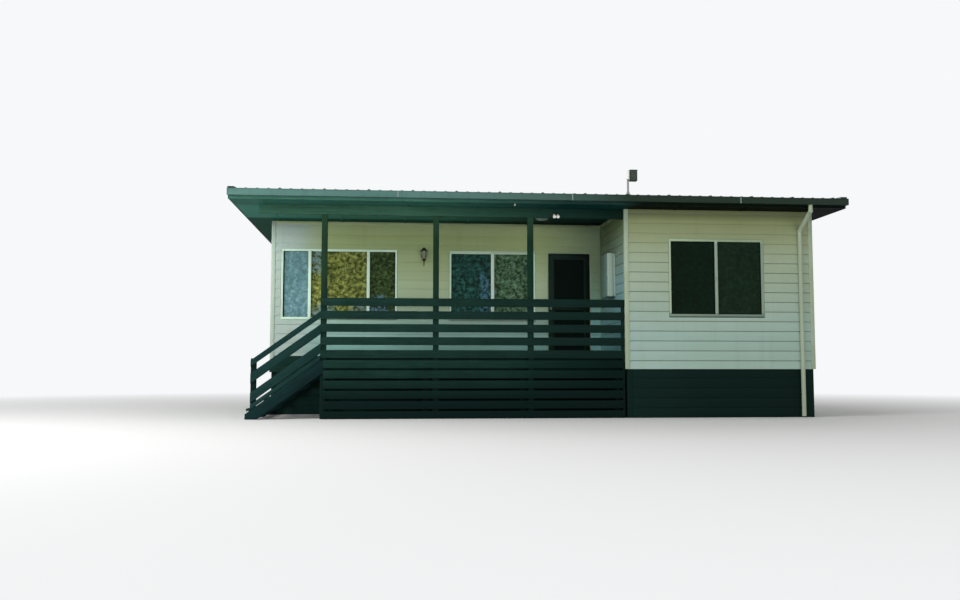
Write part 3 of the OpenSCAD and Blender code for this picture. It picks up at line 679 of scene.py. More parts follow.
other_units.append((-rear_wide_x - wide_w, wide_w, [wide_w - bar for bar in reversed(wide_bars)],
                    sill_z, head_z, {}, 180, (0, rear_y, 0)))
for name, (*sizes, members, turn, place) in front_units.items():
    unit = put(window_unit(*sizes, **members), place, (0, 0, turn))
    fix(together(name + "_dressed", [unit]), powder, [name])
others = [put(window_unit(*sizes, **members), place, (0, 0, turn))
          for *sizes, members, turn, place in other_units]
fix(together("windows_sides_and_rear", others), powder, ["side_rear_windows"])

# Seals: a dark bead of mastic in the gap between each window and the weatherboards, packing
# under the windows outside the veranda, and a black rubber gasket round each pane.
seals, gaskets = [], []
gasket_y0, gasket_y1 = pane_y - 0.012, pane_y - 0.0005
for x, width, bars, bottom, top, members, turn, place in [*front_units.values(), *other_units]:
    set_in = {"place": place, "turn": (0, 0, turn)}
    seals.append(put(ring(x - reveal, x + width + reveal, bottom - reveal, top + reveal,
                          -0.005, 0.0, reveal, 0.001), **set_in))
    if place[1] != recess_y:
        seals.append(put(plank("packing", (x - reveal, -0.006, sill_z - sill_gap),
                               (x + width + reveal, 0.0, bottom - reveal - 0.001), 0.001),
                         **set_in))
    gaskets.append(put(ring(x + 0.01, x + width - 0.022, sill_z + 0.022, head_z - 0.01,
                            gasket_y0, gasket_y1, 0.028, 0.001), **set_in))
    for bar in bars:
        gaskets.append(put(plank("gasket", (x + bar - 0.032, gasket_y0, sill_z + 0.038),
                                 (x + bar + 0.032, gasket_y1, head_z - 0.038), 0.001), **set_in))
wide_strip = plank("gasket", (wide_low.x + 0.018, gasket_y0, sill_z + 0.046),
                   (wide_low.x + 0.0385, gasket_y1, head_z - 0.038), 0.001)
gaskets.append(put(wide_strip, (0, recess_y, 0)))
mastic = mottled("dark_mastic", 0.7, (30, 44, 33), (46, 60, 48), 20.0)
fix(together("window_seals", seals), mastic)
rubber = mottled("black_rubber", 0.6, (4, 16, 11), (12, 26, 20), 30.0, gloss=0.1)
fix(together("glazing_gaskets", gaskets), rubber)

# Glass: float panes with the rooms dark behind them.
# The imported panes keep their place; the finish paints a reflection on each pane: a tint of
# the sky and the garden that it faces, with slow painted clouds and fine painted leaves.
glass = Finish("window_glass", 0.04, gloss=0.05)
glass.inputs["IOR"].default_value = 1.5
glass.inputs["Transmission Weight"].default_value = 0.05
x, y, z = glass.axis
# Noise for the painted reflections: slow clouds and the fine leaves of the garden.
reflected_clouds = glass.speckle((1.6, 1.6, 1.1), 2.0, 0.5, 0.5)
leaf = glass.speckle(13.0, 4.0, 0.7, 0.5)
veranda_x0, veranda_x1 = -4.22, 0.5
pane_reflection_tints = [(-4.22, (121, 128, 65)), (-3.1, (59, 78, 41)), (-2.0, (34, 78, 71)),
              (-0.68, (84, 115, 87)), (1.0, (1, 25, 10)), (3.15, (16, 38, 22))]
panes = [(glass.sums("GREATER_THAN", x, start), 0, 1, tint) for start, tint in pane_reflection_tints]
unseen = glass.sums("MAXIMUM", glass.sums("GREATER_THAN", y, recess_y + 0.5),
                    glass.sums("GREATER_THAN", glass.sums("ABSOLUTE", x), -left_x - 0.1))
leaf_reflection_share = glass.sums(
    "MULTIPLY", glass.between(x, -4.24, -4.2, 0.4, 1.0), glass.between(x, 0.9, 1.0, 1.0, 0.4))
dark_leaf_reflections = glass.sums("MULTIPLY", glass.between(leaf, 0.48, 0.58), leaf_reflection_share)
bright_leaf_reflections = glass.sums("MULTIPLY", glass.between(leaf, 0.46, 0.38), leaf_reflection_share)
# Each pane gets its painted reflection tint; the side and rear panes a plain one, darkened by
# painted clouds and leaves.
deep = glass.shade(
    (103, 139, 145), *panes, (unseen, 0, 1, (72, 92, 88)),
    (reflected_clouds, 0.3, 0.7, (0.55, 0.62, 0.55, 1)), (dark_leaf_reflections, 0, 1, (0.22, 0.28, 0.22, 1)))
# A brighter painted reflection, laid where the leaf pattern opens.
spots = glass.shade(deep, (1.0, 0, 1, (2.0, 1.9, 2.0, 1)))
# Patches of painted blue sky reflection between the leaves, in the veranda's windows.
sky_reflection_gaps = glass.sums("MULTIPLY", glass.between(glass.speckle((1.5, 1.5, 1.0), 1.0, 0.4), 0.53, 0.58),
                  glass.between(leaf, 0.53, 0.47))
in_veranda = glass.sums(
    "MULTIPLY", glass.sums("GREATER_THAN", x, veranda_x0), glass.sums("LESS_THAN", x, veranda_x1))
sky_reflection_gaps = glass.sums("MULTIPLY", sky_reflection_gaps, in_veranda)
glass.paint(deep, (bright_leaf_reflections, 0, 1, spots), (sky_reflection_gaps, 0, 1, (88, 132, 160), 0.6))
coat(solid["window_glass"], glass)

# Front door: a dark powder-coated screen door in a painted jamb, hung on the right.
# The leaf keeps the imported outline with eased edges, a bead runs round each screen, and the
# woven screen, hinges, handle and sill are dressed in place.
door_coat = Finish("door_powder_coat", 0.45, gloss=0.15)
# The door is painted darker towards its right, as painted shade in the veranda's inner corner.
door_coat.paint(
    (14, 38, 27), (door_coat.speckle(5.0), 0.3, 0.7, (22, 46, 33)), ("X", 0.6, 1.1, (3, 20, 14)))
door_coat.relief(door_coat.speckle(700.0, 2.0), 0.0001)
eased("front_door", "door_leaf_frame", 0.003, door_coat, "door_leaf")
eased("door_hinges", "door_hinge_set", 0.0012, trim, degrees=50)

leaf_low, leaf_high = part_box("front_door")
stile, lock_rail = 0.09, 0.12
lock_z = leaf_low.z + 0.95
bead_coat = mottled("screen_bead", 0.35, (10, 28, 22), (18, 36, 30), 8.0, gloss=0.15)
beads = [ring(leaf_low.x + stile, leaf_high.x - stile, z0, z1, recess_y + front, recess_y + back,
              0.022, 0.002)
         for z0, z1 in ((leaf_low.z + lock_rail, lock_z), (lock_z + lock_rail, leaf_high.z - stile))
         for front, back in ((0.003, 0.0135), (0.0215, 0.032))]
fix(together("screen_beads", beads), bead_coat, body="door_leaf")

woven = Finish("woven_screen", 0.75, gloss=0.15)
thread_turns = 2 * math.pi / 0.003
threads = [woven.sums("ABSOLUTE", woven.sums("SINE", woven.sums(
    "MULTIPLY", woven.axis[letter], thread_turns))) for letter in "XZ"]
weave = woven.sums("MAXIMUM", *threads)
woven.paint((2, 10, 8), (weave, 0.5, 1.0, (8, 20, 16)))
woven.relief(weave, 0.0006)
coat(solid["door_screen"], woven)

aluminium = Finish("worn_aluminium", 0.4, 0.9)
brush = aluminium.speckle((6, 400, 400), 3.0)
aluminium.paint((120, 124, 122), (brush, 0, 1, (168, 171, 168)))
aluminium.rough(brush, 0.3, 0.7, 0.3, 0.5)
eased("door_sill", "door_threshold", 0.0015, aluminium)
eased("door_frame", "door_jambs", 0.002, trim)
steel = mottled(
    "brushed_steel", 0.32, (128, 128, 124), (176, 176, 172), (30, 30, 500), metallic=1.0)
eased("door_handle", "door_lever_set", 0.0025, steel, "door_leaf", 3, 40)

# Eaves: dark painted sheet lining with cover strips, fascia and barge boards of dressed pine.
# The strips are 40 mm battens over the joints of the 1.2 m wide sheets, and stop at the beam.
# Painted light and shade: the lining is lighter at the veranda ceiling's front, darker to the right
# and at its back, and near black over the wing as painted shadow; the fascia darkens to the right
# and is near black over the wing; the barges take the stain's painted shade.
eaves_paint = stain("dark_eaves_paint", "x", (44, 90, 77), (57, 107, 94), roughness=0.6,
                     painted_shading=[("Y", -3.6, -3.4, (64, 124, 110)), ("X", -1.6, 0.4, (16, 55, 52)),
                             ("Y", -2.25, -2.1, (0.1221, 0.3005, 0.2582, 1)),
                             ("X", 1.35, 1.6, (1, 13, 9))], gloss=0.03)
fascia_paint = stain(
    "fascia_paint", "x", (50, 94, 79), (66, 112, 97), roughness=0.5,
    painted_shading=[("X", -2.4, 0.4, (26, 53, 48)), ("X", 1.3, 1.7, (3, 14, 7))])
barge_paint = stain("barge_paint", "y", (40, 74, 62), (54, 90, 78), roughness=0.5)
coat(solid["eaves_lining"], eaves_paint)
eased("fascia_boards", "fascia", 0.003, fascia_paint)
eased("barge_boards", "barges", 0.003, barge_paint)

sheet_w, strip_half, strip_t, wall_gap = 1.2, 0.02, 0.008, 0.02
eaves_y = 4.12
beam_low, beam_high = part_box("veranda_beam")
strips = []
for sheets in range(-4, 4):
    x = sheets * sheet_w
    runs = [(-eaves_y, front_y - wall_gap), (rear_y + wall_gap, eaves_y)]
    if x < wing_x:
        runs[0] = (-eaves_y, beam_low.y - 0.004)
        runs.append((beam_high.y + 0.018, recess_y - wall_gap))
    strips += [plank("strip", (x - strip_half, y0, ceiling_z - strip_t),
                     (x + strip_half, y1, ceiling_z)) for y0, y1 in runs]
fix(together("lining_strips", strips), eaves_paint)

# Roof: steel sheets with trapezoid ribs at 180 mm, laid from the gutter to the ridge, with
# folded barge cappings down the gable edges and a rolled capping over the ridge.
# One rib's width of sheet is folded up from a plane, repeated along the roof and given 2 mm.
roof_low, roof_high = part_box("roof_front")
roof_half, roof_rise, rib_count, pitch_degrees = roof_high.x, 0.028, 58, 5
pitch_angle = math.radians(pitch_degrees)
lip_y, lip_z, ridge_z = roof_low.y, roof_low.z, roof_high.z - roof_rise
rib_pitch = 2 * roof_half / rib_count
slope_len = abs(lip_y) / math.cos(pitch_angle)

roofing = Finish("weathered_roof_steel", 0.42, 0.35)
patch = roofing.speckle(1.1)
roofing.paint(
    (98, 116, 108), (patch, 0.3, 0.7, (116, 133, 125)),
    (roofing.speckle((18, 0.5, 1)), 0.5, 0.8, (84, 98, 90), 0.4))
roofing.rough(patch, 0.3, 0.7, 0.35, 0.55)


def thicken(obj, thickness, offset=1.0):
    """Gives a folded sheet its thickness."""
    skin = obj.modifiers.new("skin", "SOLIDIFY")
    skin.thickness = thickness
    skin.offset = offset
    return settle(obj)


def roof_slope(name):
    rib = sheet(rib_pitch, slope_len, (rib_pitch / 2, slope_len / 2, 0))
    middle, crown, foot = rib_pitch / 2 + 0.024, 0.014, 0.028
    swage_in, swage_out = 0.012, 0.02
    sliced(rib, (1, 0, 0), [swage_in, swage_out, middle - foot, middle - crown, middle + crown,
                            middle + foot, rib_pitch - swage_out, rib_pitch - swage_in])
    shape(rib, "FACE", lambda m, d: abs(m.x - middle) < swage_in, shift(z=0.01))
    shape(
        rib, "FACE", lambda m, d: swage_in < min(m.x, rib_pitch - m.x) < swage_out, shift(z=0.002))
    slope = row_of(rib, rib_count, (rib_pitch, 0, 0))
    lap = 4 * rib_pitch
    shape(slope, "FACE", lambda m, d: abs((m.x - middle + 0.1) % lap - 0.1) < swage_in,
          shift(z=0.007))
    thicken(slope, 0.002)
    slope.name = name
    return put(slope, (-roof_half, lip_y, lip_z + 0.0005), (pitch_degrees, 0, 0))


fix(roof_slope("roof_sheets_front"), roofing, ["roof_front"])
fix(put(roof_slope("roof_sheets_rear"), turn=(0, 0, 180)), roofing, ["roof_rear"])

capping_half, fold_y, roll_foot, roll_y = 0.17, 0.155, 0.025, 0.018
capping = sheet(2 * roof_half, 2 * capping_half, (0, 0, ridge_z + 0.034))
sliced(capping, (0, 1, 0), [-fold_y, -roll_foot, -roll_y, 0.0, roll_y, roll_foot, fold_y])
for fold, lift in ((0.0, 0.024), (roll_y, 0.017), (roll_foot, 0.0), (fold_y, 0.0),
                   (capping_half, -0.012)):
    shape(capping, "EDGE", lambda m, d: abs(abs(m.y) - fold) < 0.001 and abs(d.x) > 0.9,
          shift(z=lift - fold * math.tan(pitch_angle)))
capping.name = "ridge_roll_capping"
fix(thicken(capping, 0.0025), roofing, ["ridge_capping"])

capping_w, steel_t = 0.11, 0.0025
barges = []
for mirror, turn in ((False, 0), (True, 0), (True, 180), (False, 180)):
    folds = [
        plank("flat", (0, 0, 0), (capping_w, slope_len, steel_t), 0.0006, 1),
        plank("drop", (0, 0, -0.06), (steel_t, slope_len, steel_t), 0.0006, 1),
        plank("turn", (capping_w - steel_t, 0, -0.02), (capping_w, slope_len, steel_t), 0.0006, 1)]
    strip = put(together("barge_strip", folds),
                (-roof_half - 0.002, lip_y, lip_z + roof_rise + 0.001), (pitch_degrees, 0, 0))
    if mirror:
        work(put(strip, scale=(-1, 1, 1)), face_out)
    barges.append(put(strip, turn=(0, 0, turn)))
fix(together("barge_cappings", barges), roofing)

# Gutters: folded steel, 115 mm wide, with a rolled bead along the front edge, stop ends and
# a joint sleeve. Each is drawn up from its flat sole and hung on the fascia by straps.
gutter_paint = Finish("gutter_paint", 0.4, 0.1, 0.3)
patch = gutter_paint.speckle((0.5, 4, 4), 3.0)
# The gutter is painted darker to the right, near black past the wing's corner, as painted shade.
gutter_paint.paint(
    (65, 99, 93), (patch, 0.3, 0.7, (79, 115, 108)),
    (gutter_paint.speckle((16, 16, 1.5)), 0.5, 0.8, (52, 76, 69), 0.4),
    ("X", -2.2, 0.4, (50, 75, 66), 0.85), ("X", 0.2, 1.5, (10, 32, 18), 0.95))
gutter_paint.rough(patch, 0.3, 0.7, 0.34, 0.5)
gutter_w, gutter_len = 0.115, 2 * roof_half - 0.004
strap_count, strap_in = 9, 0.4
gutter_y0, gutter_z0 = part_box("gutters")[0].yz
gutter_z1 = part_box("gutters")[1].z
gutter_y1 = gutter_y0 + gutter_w


def gutter(name):
    y0, y1, bead_r, hem = gutter_y0 + 0.007, gutter_y1 - 0.002, 0.007, 0.012
    sole, height = gutter_z0 + 0.001, gutter_z1 - gutter_z0 - 0.003
    trough = sheet(gutter_len, y1 - y0, (0, (y0 + y1) / 2, sole))
    top = sole + height - 0.001
    for test, way in (
            (lambda m, d: m.y > y1 - 0.001, (0, 0, height)),
            (lambda m, d: abs(m.y - y0) < 0.001, (0, 0, height)),
            (lambda m, d: abs(m.y - y0) < 0.001 and m.z > top and abs(d.x) > 0.9, (0, hem, 0)),
            (lambda m, d: abs(m.y - y0 - hem) < 0.001 and m.z > top and abs(d.x) > 0.9,
             (0, 0, -0.01))):
        shape(trough, "EDGE", test, lambda: drawn(*way))
    thicken(trough, 0.0022, 0.0)
    parts = [ease(trough, 0.002), primitive("cylinder", (0, y0, gutter_z1 - 0.008), (0, 90, 0),
                                            vertices=20, radius=bead_r, depth=gutter_len)]
    for x in (-roof_half, roof_half - 0.003):
        parts.append(plank(
            "stop_end", (x, gutter_y0, gutter_z0), (x + 0.003, gutter_y1, gutter_z1), 0.0008, 1))
    for i in range(strap_count):
        x = -roof_half + strap_in + i * 2 * (roof_half - strap_in) / (strap_count - 1)
        parts.append(plank("strap", (x - 0.012, gutter_y0 + 0.002, gutter_z1 - 0.004),
                           (x + 0.012, gutter_y1 + 0.001, gutter_z1 - 0.001), 0.0006, 1))
    return together(name, parts)


fix(gutter("gutter_front"), gutter_paint, ["gutters"])
fix(put(gutter("gutter_rear"), turn=(0, 0, 180)), gutter_paint, ["gutters"])
sleeves, sleeve_xs = [], (-2.55, 0.44, 3.42)
for turn in (0, 180):
    for x in sleeve_xs:
        sleeve = plank("sleeve", (x - 0.009, gutter_y0 - 0.0015, gutter_z0 - 0.0015),
                       (x + 0.009, gutter_y0 + 0.004, gutter_z1 + 0.0012), 0.0008, 1)
        sleeves.append(put(sleeve, turn=(0, 0, turn)))
zinc = mottled("zinc_sleeves", 0.45, (104, 130, 120), (134, 156, 148), 30.0, 4.0, metallic=0.4)
fix(together("gutter_sleeves", sleeves), zinc)

# Downpipes: painted round steel with pressed straps screwed to the wall.
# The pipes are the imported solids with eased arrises; each strap is a band with two flat ears.
pipe_paint = mottled(
    "downpipe_paint", 0.42, (142, 156, 132), (152, 166, 144), (8, 8, 0.8), 4.0, (0.35, 0.65))
eased("downpipes", "downpipe_runs", 0.0015, pipe_paint, degrees=50)
strap_half, strap_r, pipe_out, ear_t, ear_reach = 0.0125, 0.0395, 0.0405, 0.016, 0.062
pipe_d, pipe_in = 0.078, 0.075
pipe_x = right_x - 2 * pipe_d - pipe_in
straps = []
strap_zs = (1.15, 2.6)
for x, side in ((pipe_x, -1), (pipe_x, 1), (-pipe_x, 1)):
    for z in strap_zs:
        band = primitive("cylinder", (x, side * (rear_y + pipe_out), z), vertices=40,
                         radius=strap_r, depth=2 * strap_half)
        straps.append(ease(band, 0.0012, 1))
        y0, y1 = sorted((side * rear_y, side * (rear_y + ear_t)))
        straps.append(plank("ears", (x - ear_reach, y0, z - strap_half),
                            (x + ear_reach, y1, z + strap_half), 0.001))
fix(together("downpipe_straps", straps), pipe_paint)

# Veranda frame: stained posts under a deep beam, with board rails across their fronts.
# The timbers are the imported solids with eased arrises; bolt heads sit on the rails at each post.
rail_pitch, rail_w, rail_count = 0.225, 0.14, 5
# The beam is painted darker to the right, and the skirt darker to the right and towards the ground,
# as painted shade.
beam_stain = stain(
    "beam_stain", "x", (42, 78, 62), (58, 97, 79), roughness=0.55,
    painted_shading=[("X", -2.4, 0.4, (23, 49, 42)), ("X", 0.4, 1.3, (12, 34, 27))])
skirt_stain = stain(
    "skirt_stain", "x", (10, 32, 27), (22, 47, 41), rail_pitch,
    painted_shading=[("X", -1.0, 1.2, (3, 23, 19)), ("Z", 0.8, 0.35, (5, 22, 20))])
eased("veranda_beam", "beam", 0.004, beam_stain)
eased("veranda_posts", "posts", 0.005, dark_upright)
eased("balustrade_rails", "rails", 0.004, dark_level)
eased("skirt_boards", "skirting", 0.004, skirt_stain)
eased("deck_bearers", "bearers", 0.002, dark_level)
coat(solid["deck_joists"], dark_cross)
coat(solid["deck_stumps"], dark_upright)

head = primitive("uv_sphere", scale=(1, 0.35, 1), segments=10, ring_count=6, radius=0.006)
post_xs = [-3.811, -1.875, -0.204]
rail_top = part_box("balustrade_rails")[1].z
rail_zs = [rail_top - rail_w / 2 - rail_pitch * i for i in range(rail_count)]
heads = [put(set_down("head", head.data.copy()), (x + dx, front_y, z + dz))
         for x in post_xs for z in rail_zs for dx, dz in ((-0.025, 0.035), (0.025, -0.035))]
bpy.data.objects.remove(head)
dull_steel = mottled("dull_screw_heads", 0.45, (40, 50, 46), (70, 80, 74), 60.0, metallic=0.8)
fix(smooth(together("rail_screws", heads), 60), dull_steel)

# Deck: stained boards, 88 mm wide with open joints, laid along the front over the joists.
# One board is eased and repeated back to the wall, and the row is notched round the posts.
deck_t, deck_rows, post_half, end_post, notch_gap = 0.025, 20, 0.05, 0.048, 0.003
deck_pitch = (recess_y - deck_low.y) / deck_rows
deck = plank(
    "deck_boarding", (deck_low.x, deck_low.y, floor_z - deck_t),
    (deck_high.x, deck_low.y + deck_pitch - 0.005, floor_z), 0.003)
row_of(deck, deck_rows, (0, deck_pitch, 0))
for x in post_xs:
    cut_out(deck, (x - post_half - notch_gap, deck_low.y - 0.01, floor_z - 0.05),
            (x + post_half + notch_gap, deck_low.y + 2 * post_half + notch_gap, floor_z + 0.05))
cut_out(deck, (deck_high.x - end_post, deck_low.y - 0.01, floor_z - 0.05),
        (deck_high.x + 0.01, deck_low.y + 0.09 + notch_gap, floor_z + 0.05))
# The deck stain takes the stain's default painted shade towards +X.
deck_stain = stain("deck_stain", "x", (112, 108, 92), (150, 146, 126), roughness=0.65)
fix(smooth(deck, 40), deck_stain, ["deck_boards"])

# Stair: three stringers, five treads in two bays, four sloping boards and a newel, all stained.
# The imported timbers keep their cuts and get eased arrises.
eased("stair_stringers", "stringers", 0.003, stringer_shaded_stain)
eased("stair_treads", "treads", 0.005, dark_cross)
eased("stair_rails", "sloping_rails", 0.004, dark_stair)
eased("stair_newel", "newel", 0.004, dark_upright)

# Meter box: a pressed steel casing on the wing's side wall with a deeper hinged cover.
# The cover stops short of the casing, so a groove runs round the box; a latch holds it shut.
low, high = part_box("meter_box")
enamel = Finish("meter_box_enamel", 0.4)
# All but the box's front end is painted darker, as painted shade on the cover that faces the side.
enamel.paint(
    (158, 178, 165), (enamel.speckle(3.0), 0.3, 0.7, (166, 186, 173)),
    (enamel.speckle((20, 20, 1.5), 3.0), 0.55, 0.8, (134, 150, 138), 0.25),
    ("Y", low.y + 0.005, low.y + 0.03, (112, 142, 132)))
cabinet = [
    plank("casing", (high.x - 0.042, low.y + 0.008, low.z + 0.006),
          (high.x, high.y - 0.008, high.z - 0.01), 0.004, 3),
    plank("core", (low.x + 0.02, low.y + 0.016, low.z + 0.014),
          (high.x - 0.02, high.y - 0.016, high.z - 0.02)),
    plank("cover", low, (high.x - 0.05, high.y, high.z), 0.012, 4),
    plank("panel", (low.x - 0.0015, low.y + 0.045, low.z + 0.045),
          (low.x + 0.002, high.y - 0.045, high.z - 0.045), 0.001),
    plank("latch", (low.x - 0.012, low.y + 0.05, low.z + 0.4),
          (low.x, low.y + 0.075, low.z + 0.46), 0.003),
]
fix(together("meter_cabinet", cabinet), enamel, ["meter_box"])

# Coach lantern: cast metal on a round wall plate, six panes between ribs, a domed cap above
# and a long turned tail below. The body is spun, and the ribs and panes are set round it.
bronze = Finish("dark_bronze", 0.45, 0.75)
patch = bronze.speckle(40.0)
bronze.paint((44, 48, 34), (patch, 0.3, 0.7, (66, 68, 50)))
bronze.rough(patch, 0.3, 0.7, 0.35, 0.6)
lamp_glass = mottled("lantern_glass", 0.12, (150, 160, 138), (186, 192, 168), 50.0)
lamp_glass.inputs["Transmission Weight"].default_value = 0.35


def turned_up(name, profile, place=(0, 0, 0), turn=(0, 0, 0), steps=32):
    """A turned part: a profile of (radius, height) drawn point by point and spun upright."""
    def draw():
        bpy.ops.mesh.merge(type="CENTER")
        for (r0, z0), (r1, z1) in zip([(0, 0), *profile], profile):
            if (r0, z0) != (r1, z1):
                drawn(r1 - r0, 0, z1 - z0)

    obj = sheet(1, 1, (0, 0, 0))
    obj.name = name
    work(obj, draw, lambda: bpy.ops.mesh.spin(steps=steps, angle=2 * math.pi, center=(0, 0, 0),
                                              axis=(0, 0, 1)),
         lambda: bpy.ops.mesh.remove_doubles(threshold=0.00002), face_out)
    return smooth(put(obj, place, turn), 35)


lamp = Vector((left_x + 2.905, recess_y - 0.11, floor_z + 1.768))
rib_t, rib_len, rib_in, rib_spread, glass_z = 0.0035, 0.158, 0.037, 0.02, 0.134
pane_h = 0.152
body = [
    turned_up("tail", [(0, 0), (0.007, 0.004), (0.011, 0.012), (0.006, 0.02), (0.009, 0.05),
                       (0.007, 0.085), (0.012, 0.1), (0.03, 0.112), (0.042, 0.13),
                       (0.042, 0.138), (0, 0.138)], lamp),
    turned_up("cap", [(0, 0.372), (0.006, 0.371), (0.01, 0.362), (0.005, 0.356),
                      (0.012, 0.352), (0.03, 0.347), (0.038, 0.337), (0.04, 0.325),
                      (0.066, 0.305), (0.077, 0.296), (0.074, 0.288), (0.05, 0.288),
                      (0, 0.288)], lamp),
    turned_up("plate", [(0, 0), (0.055, 0), (0.055, 0.006), (0.045, 0.012), (0.03, 0.018),
                        (0, 0.018)], (lamp.x, recess_y, lamp.z + 0.19), (90, 0, 0)),
    plank("bar", (lamp.x - 0.009, lamp.y + 0.03, lamp.z + 0.18),
          (lamp.x + 0.009, recess_y - 0.012, lamp.z + 0.2), 0.004, 3),
]
for k in range(6):
    rib = plank("rib", (-rib_t, -rib_t, 0.0), (rib_t, rib_t, rib_len), 0.001)
    put(rib, (rib_in, 0, 0), (0, math.degrees(math.atan2(rib_spread, pane_h)), 0))
    body.append(put(rib, lamp + Vector((0, 0, glass_z)), (0, 0, 60 * k)))
body.append(primitive(
    "torus", (lamp.x, recess_y - 0.062, lamp.z + 0.13), (0, 90, 0), major_radius=0.052,
    minor_radius=0.006, major_segments=24, minor_segments=10))
fix(together("lantern_body", body), bronze, ["coach_lantern"])
panes = primitive("cone", (lamp.x, lamp.y, lamp.z + 0.213), vertices=6, radius1=0.036,
                  radius2=0.056, depth=pane_h)
panes.name = "lantern_panes"
fix(panes, lamp_glass)

# Veranda lights: a round ceiling light with an opal bowl, and a twin flood light on the beam.
# The bowl and the two lamp heads are spun; the heads lean forward on knuckles from a small box.
white = mottled("white_fitting", 0.4, (216, 218, 208), (232, 233, 226), 20.0)
# The opal bowl is painted a dim blue-grey, as painted shade under the veranda ceiling.
opal = mottled("opal_glass", 0.3, (126, 150, 150), (144, 168, 168), 14.0)
low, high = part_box("ceiling_light")
bowl_r = (high.x - low.x) / 2
bowl = turned_up("bowl", [(bowl_r * share, z) for share, z in (
    (0, 0.01), (0.4, 0.0125), (0.68, 0.02), (0.84, 0.034), (0.88, 0.048), (0.9, 0.05),
    (0.98, 0.052), (1, 0.057), (1, 0.07), (0, 0.07))],
    ((low.x + high.x) / 2, (low.y + high.y) / 2, low.z))
fix(bowl, opal, ["ceiling_light"])

low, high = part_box("flood_light")
flood_x, beam_face, flood_z = (low.x + high.x) / 2, high.y, high.z - 0.026
mounts = [plank("box", (flood_x - 0.028, beam_face - 0.026, flood_z - 0.028),
                (flood_x + 0.028, beam_face, flood_z + 0.026), 0.006, 3)]
heads = []
for side in (-1, 1):
    heads.append(turned_up("head", [
        (0, 0), (0.014, 0.0), (0.02, 0.004), (0.023, 0.03), (0.028, 0.055), (0.0295, 0.074),
        (0.0295, 0.078), (0.026, 0.078), (0.024, 0.07), (0.014, 0.064), (0, 0.063)],
        (flood_x + side * 0.031, beam_face - 0.022, flood_z), (125, 0, 0)))
    x0, x1 = sorted((flood_x, flood_x + side * 0.03))
    mounts.append(plank("knuckle", (x0, beam_face - 0.036, flood_z - 0.01),
                        (x1, beam_face - 0.02, flood_z + 0.006), 0.003))
fix(together("flood_lamps", heads), white, ["flood_light"])
fix(together("flood_mount", mounts), door_coat)

# Hook under the eaves: a small pale screw hook in the lining, left of the veranda's third post.
# Its shank and collar are turned, and its eye is a ring below them.
hook_x, hook_y = -0.537, -4.07
shank = turned_up(
    "shank", [(0, 0), (0.004, 0.0), (0.004, 0.012), (0.009, 0.014), (0.009, 0.018), (0, 0.018)],
    (hook_x, hook_y, ceiling_z - 0.0185), steps=16)
eye = primitive("torus", (hook_x, hook_y, ceiling_z - 0.026), (90, 0, 0), major_radius=0.009,
                minor_radius=0.004, major_segments=20, minor_segments=10)
fix(together("eaves_hook", [shank, eye]), white)

# Service mast: a galvanised pipe through a flashing on the roof, with a dark connection box
# and a white insulator on its side. The pipe and the flashing are turned in one piece.
galvanised = mottled(
    "galvanised_pipe", 0.5, (128, 134, 128), (160, 165, 158), 30.0, 4.0, (0.3, 0.7), metallic=0.5)
dark_box = mottled("dark_service_box", 0.55, (34, 44, 38), (52, 62, 54), 14.0, 4.0, (0.3, 0.7))
low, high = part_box("service_mast")
flashing_r, mast_r, mast_h = 0.055, 0.0175, high.z - low.z
mast_x, mast_y = low.x + flashing_r, (low.y + high.y) / 2
pole = turned_up("pole", [(0, 0), (flashing_r, 0.0), (0.054, 0.006), (0.04, 0.012), (0.03, 0.03),
                          (0.022, 0.06), (mast_r, 0.064), (mast_r, mast_h - 0.03),
                          (0.02, mast_h - 0.03), (0.018, mast_h - 0.012), (0, mast_h - 0.008)],
                 (mast_x, mast_y, low.z))
fix(pole, galvanised, ["service_mast"])
box = [plank("box", (mast_x + 0.03, low.y + 0.004, high.z - 0.198),
             (high.x, high.y - 0.004, high.z - 0.006), 0.01, 3),
       plank("lid", (mast_x + 0.024, low.y, high.z - 0.012), (high.x + 0.004, high.y, high.z),
             0.004, 3),
       plank("saddle", (mast_x - 0.022, mast_y - 0.014, high.z - 0.15),
             (mast_x + 0.034, mast_y + 0.014, high.z - 0.13), 0.003)]
fix(together("service_box", box), dark_box)
insulator = turned_up("insulator", [(0, 0), (0.02, 0.002), (0.03, 0.012), (0.03, 0.04),
                                    (0.023, 0.046), (0.03, 0.052), (0.03, 0.1),
                                    (0.023, 0.106), (0.03, 0.112), (0.03, 0.15),
                                    (0.018, 0.16), (0, 0.162)],
                      (mast_x - 0.012, low.y + 0.01, high.z - 0.18), steps=24)
fix(insulator, white)

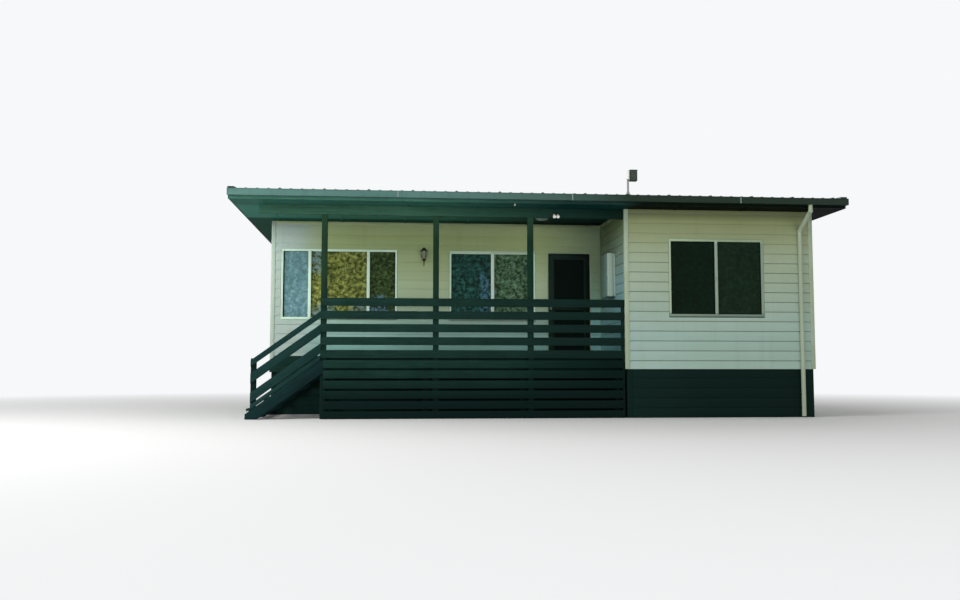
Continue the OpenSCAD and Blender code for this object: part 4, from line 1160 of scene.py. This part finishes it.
# Studio: a pale floor that fades into a white surround, a broad low key from the front right,
# weak fills from the left and behind, and the camera where the photograph was taken from.
surround = (0.93, 0.94, 0.95, 1)
ground = sheet(400, 400, (0, 0, -0.002))
ground.name = "studio_floor"
pale = Finish("studio_floor_finish", 0.9, gloss=0.1)
pale.inputs["Base Color"].default_value = (0.8, 0.8, 0.79, 1)
tree = pale.tree
distance = node(tree, "ShaderNodeVectorMath", {0: pale.point}, "Value", operation="LENGTH")
far_off = sums(tree, "MULTIPLY", pale.between(distance, 7, 20),
               node(tree, "ShaderNodeLightPath", {}, "Is Camera Ray"))
glow = node(tree, "ShaderNodeEmission", {"Color": surround})
faded = node(tree, "ShaderNodeMixShader", {
    0: far_off, 1: tree.nodes["Principled BSDF"].outputs[0], 2: glow})
tree.links.new(faded, tree.nodes["Material Output"].inputs["Surface"])
coat(ground, pale)
ground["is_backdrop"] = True

world = bpy.data.worlds.new("studio")
bpy.context.scene.world = world
world.use_nodes = True
tree = world.node_tree
sky = tree.nodes["Background"]
sky.inputs["Color"].default_value = (1, 1, 1, 1)
sky.inputs["Strength"].default_value = 0.42
rays = node(tree, "ShaderNodeLightPath", {}).node.outputs
seen = sums(tree, "MAXIMUM", sums(tree, "MAXIMUM", rays["Is Camera Ray"],
                                  rays["Is Transmission Ray"]), rays["Is Glossy Ray"])
backdrop = node(tree, "ShaderNodeBackground", {"Color": surround})
around = node(tree, "ShaderNodeMixShader", {0: seen, 1: sky.outputs[0], 2: backdrop})
tree.links.new(around, tree.nodes["World Output"].inputs[0])


def soft_light(name, place, aim, width, height, power):
    """A broad lamp that lights without showing in the glass."""
    data = bpy.data.lights.new(name, "AREA")
    data.shape = "RECTANGLE"
    data.size, data.size_y = width, height
    data.energy = power
    obj = set_down(name, data)
    obj.location = place
    obj.rotation_euler = (Vector(aim) - Vector(place)).to_track_quat("-Z", "Y").to_euler()
    obj.visible_glossy = False


soft_light("key", (2, -27, 2.4), (-0.5, -2, 1.8), 30, 4.4, 2200)
soft_light("fill", (-13, -11, 8), (1.4, -2.6, 1.6), 8, 8, 1900)
soft_light("back", (4, 22, 9), (0, 3, 2), 12, 12, 1200)

camera_data = bpy.data.cameras.new("camera")
camera_data.lens = 35
camera_data.sensor_width = 36
camera_data.clip_end = 400
camera = set_down("camera", camera_data)
tilt_up, turn_right = 4.4, 5.32
camera.location = (-2.616, -19.9, 0.807)
camera.rotation_euler = (math.radians(90 + tilt_up), 0, math.radians(-turn_right))
bpy.context.scene.camera = camera
bpy.context.scene.view_settings.view_transform = "Standard"

low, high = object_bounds()
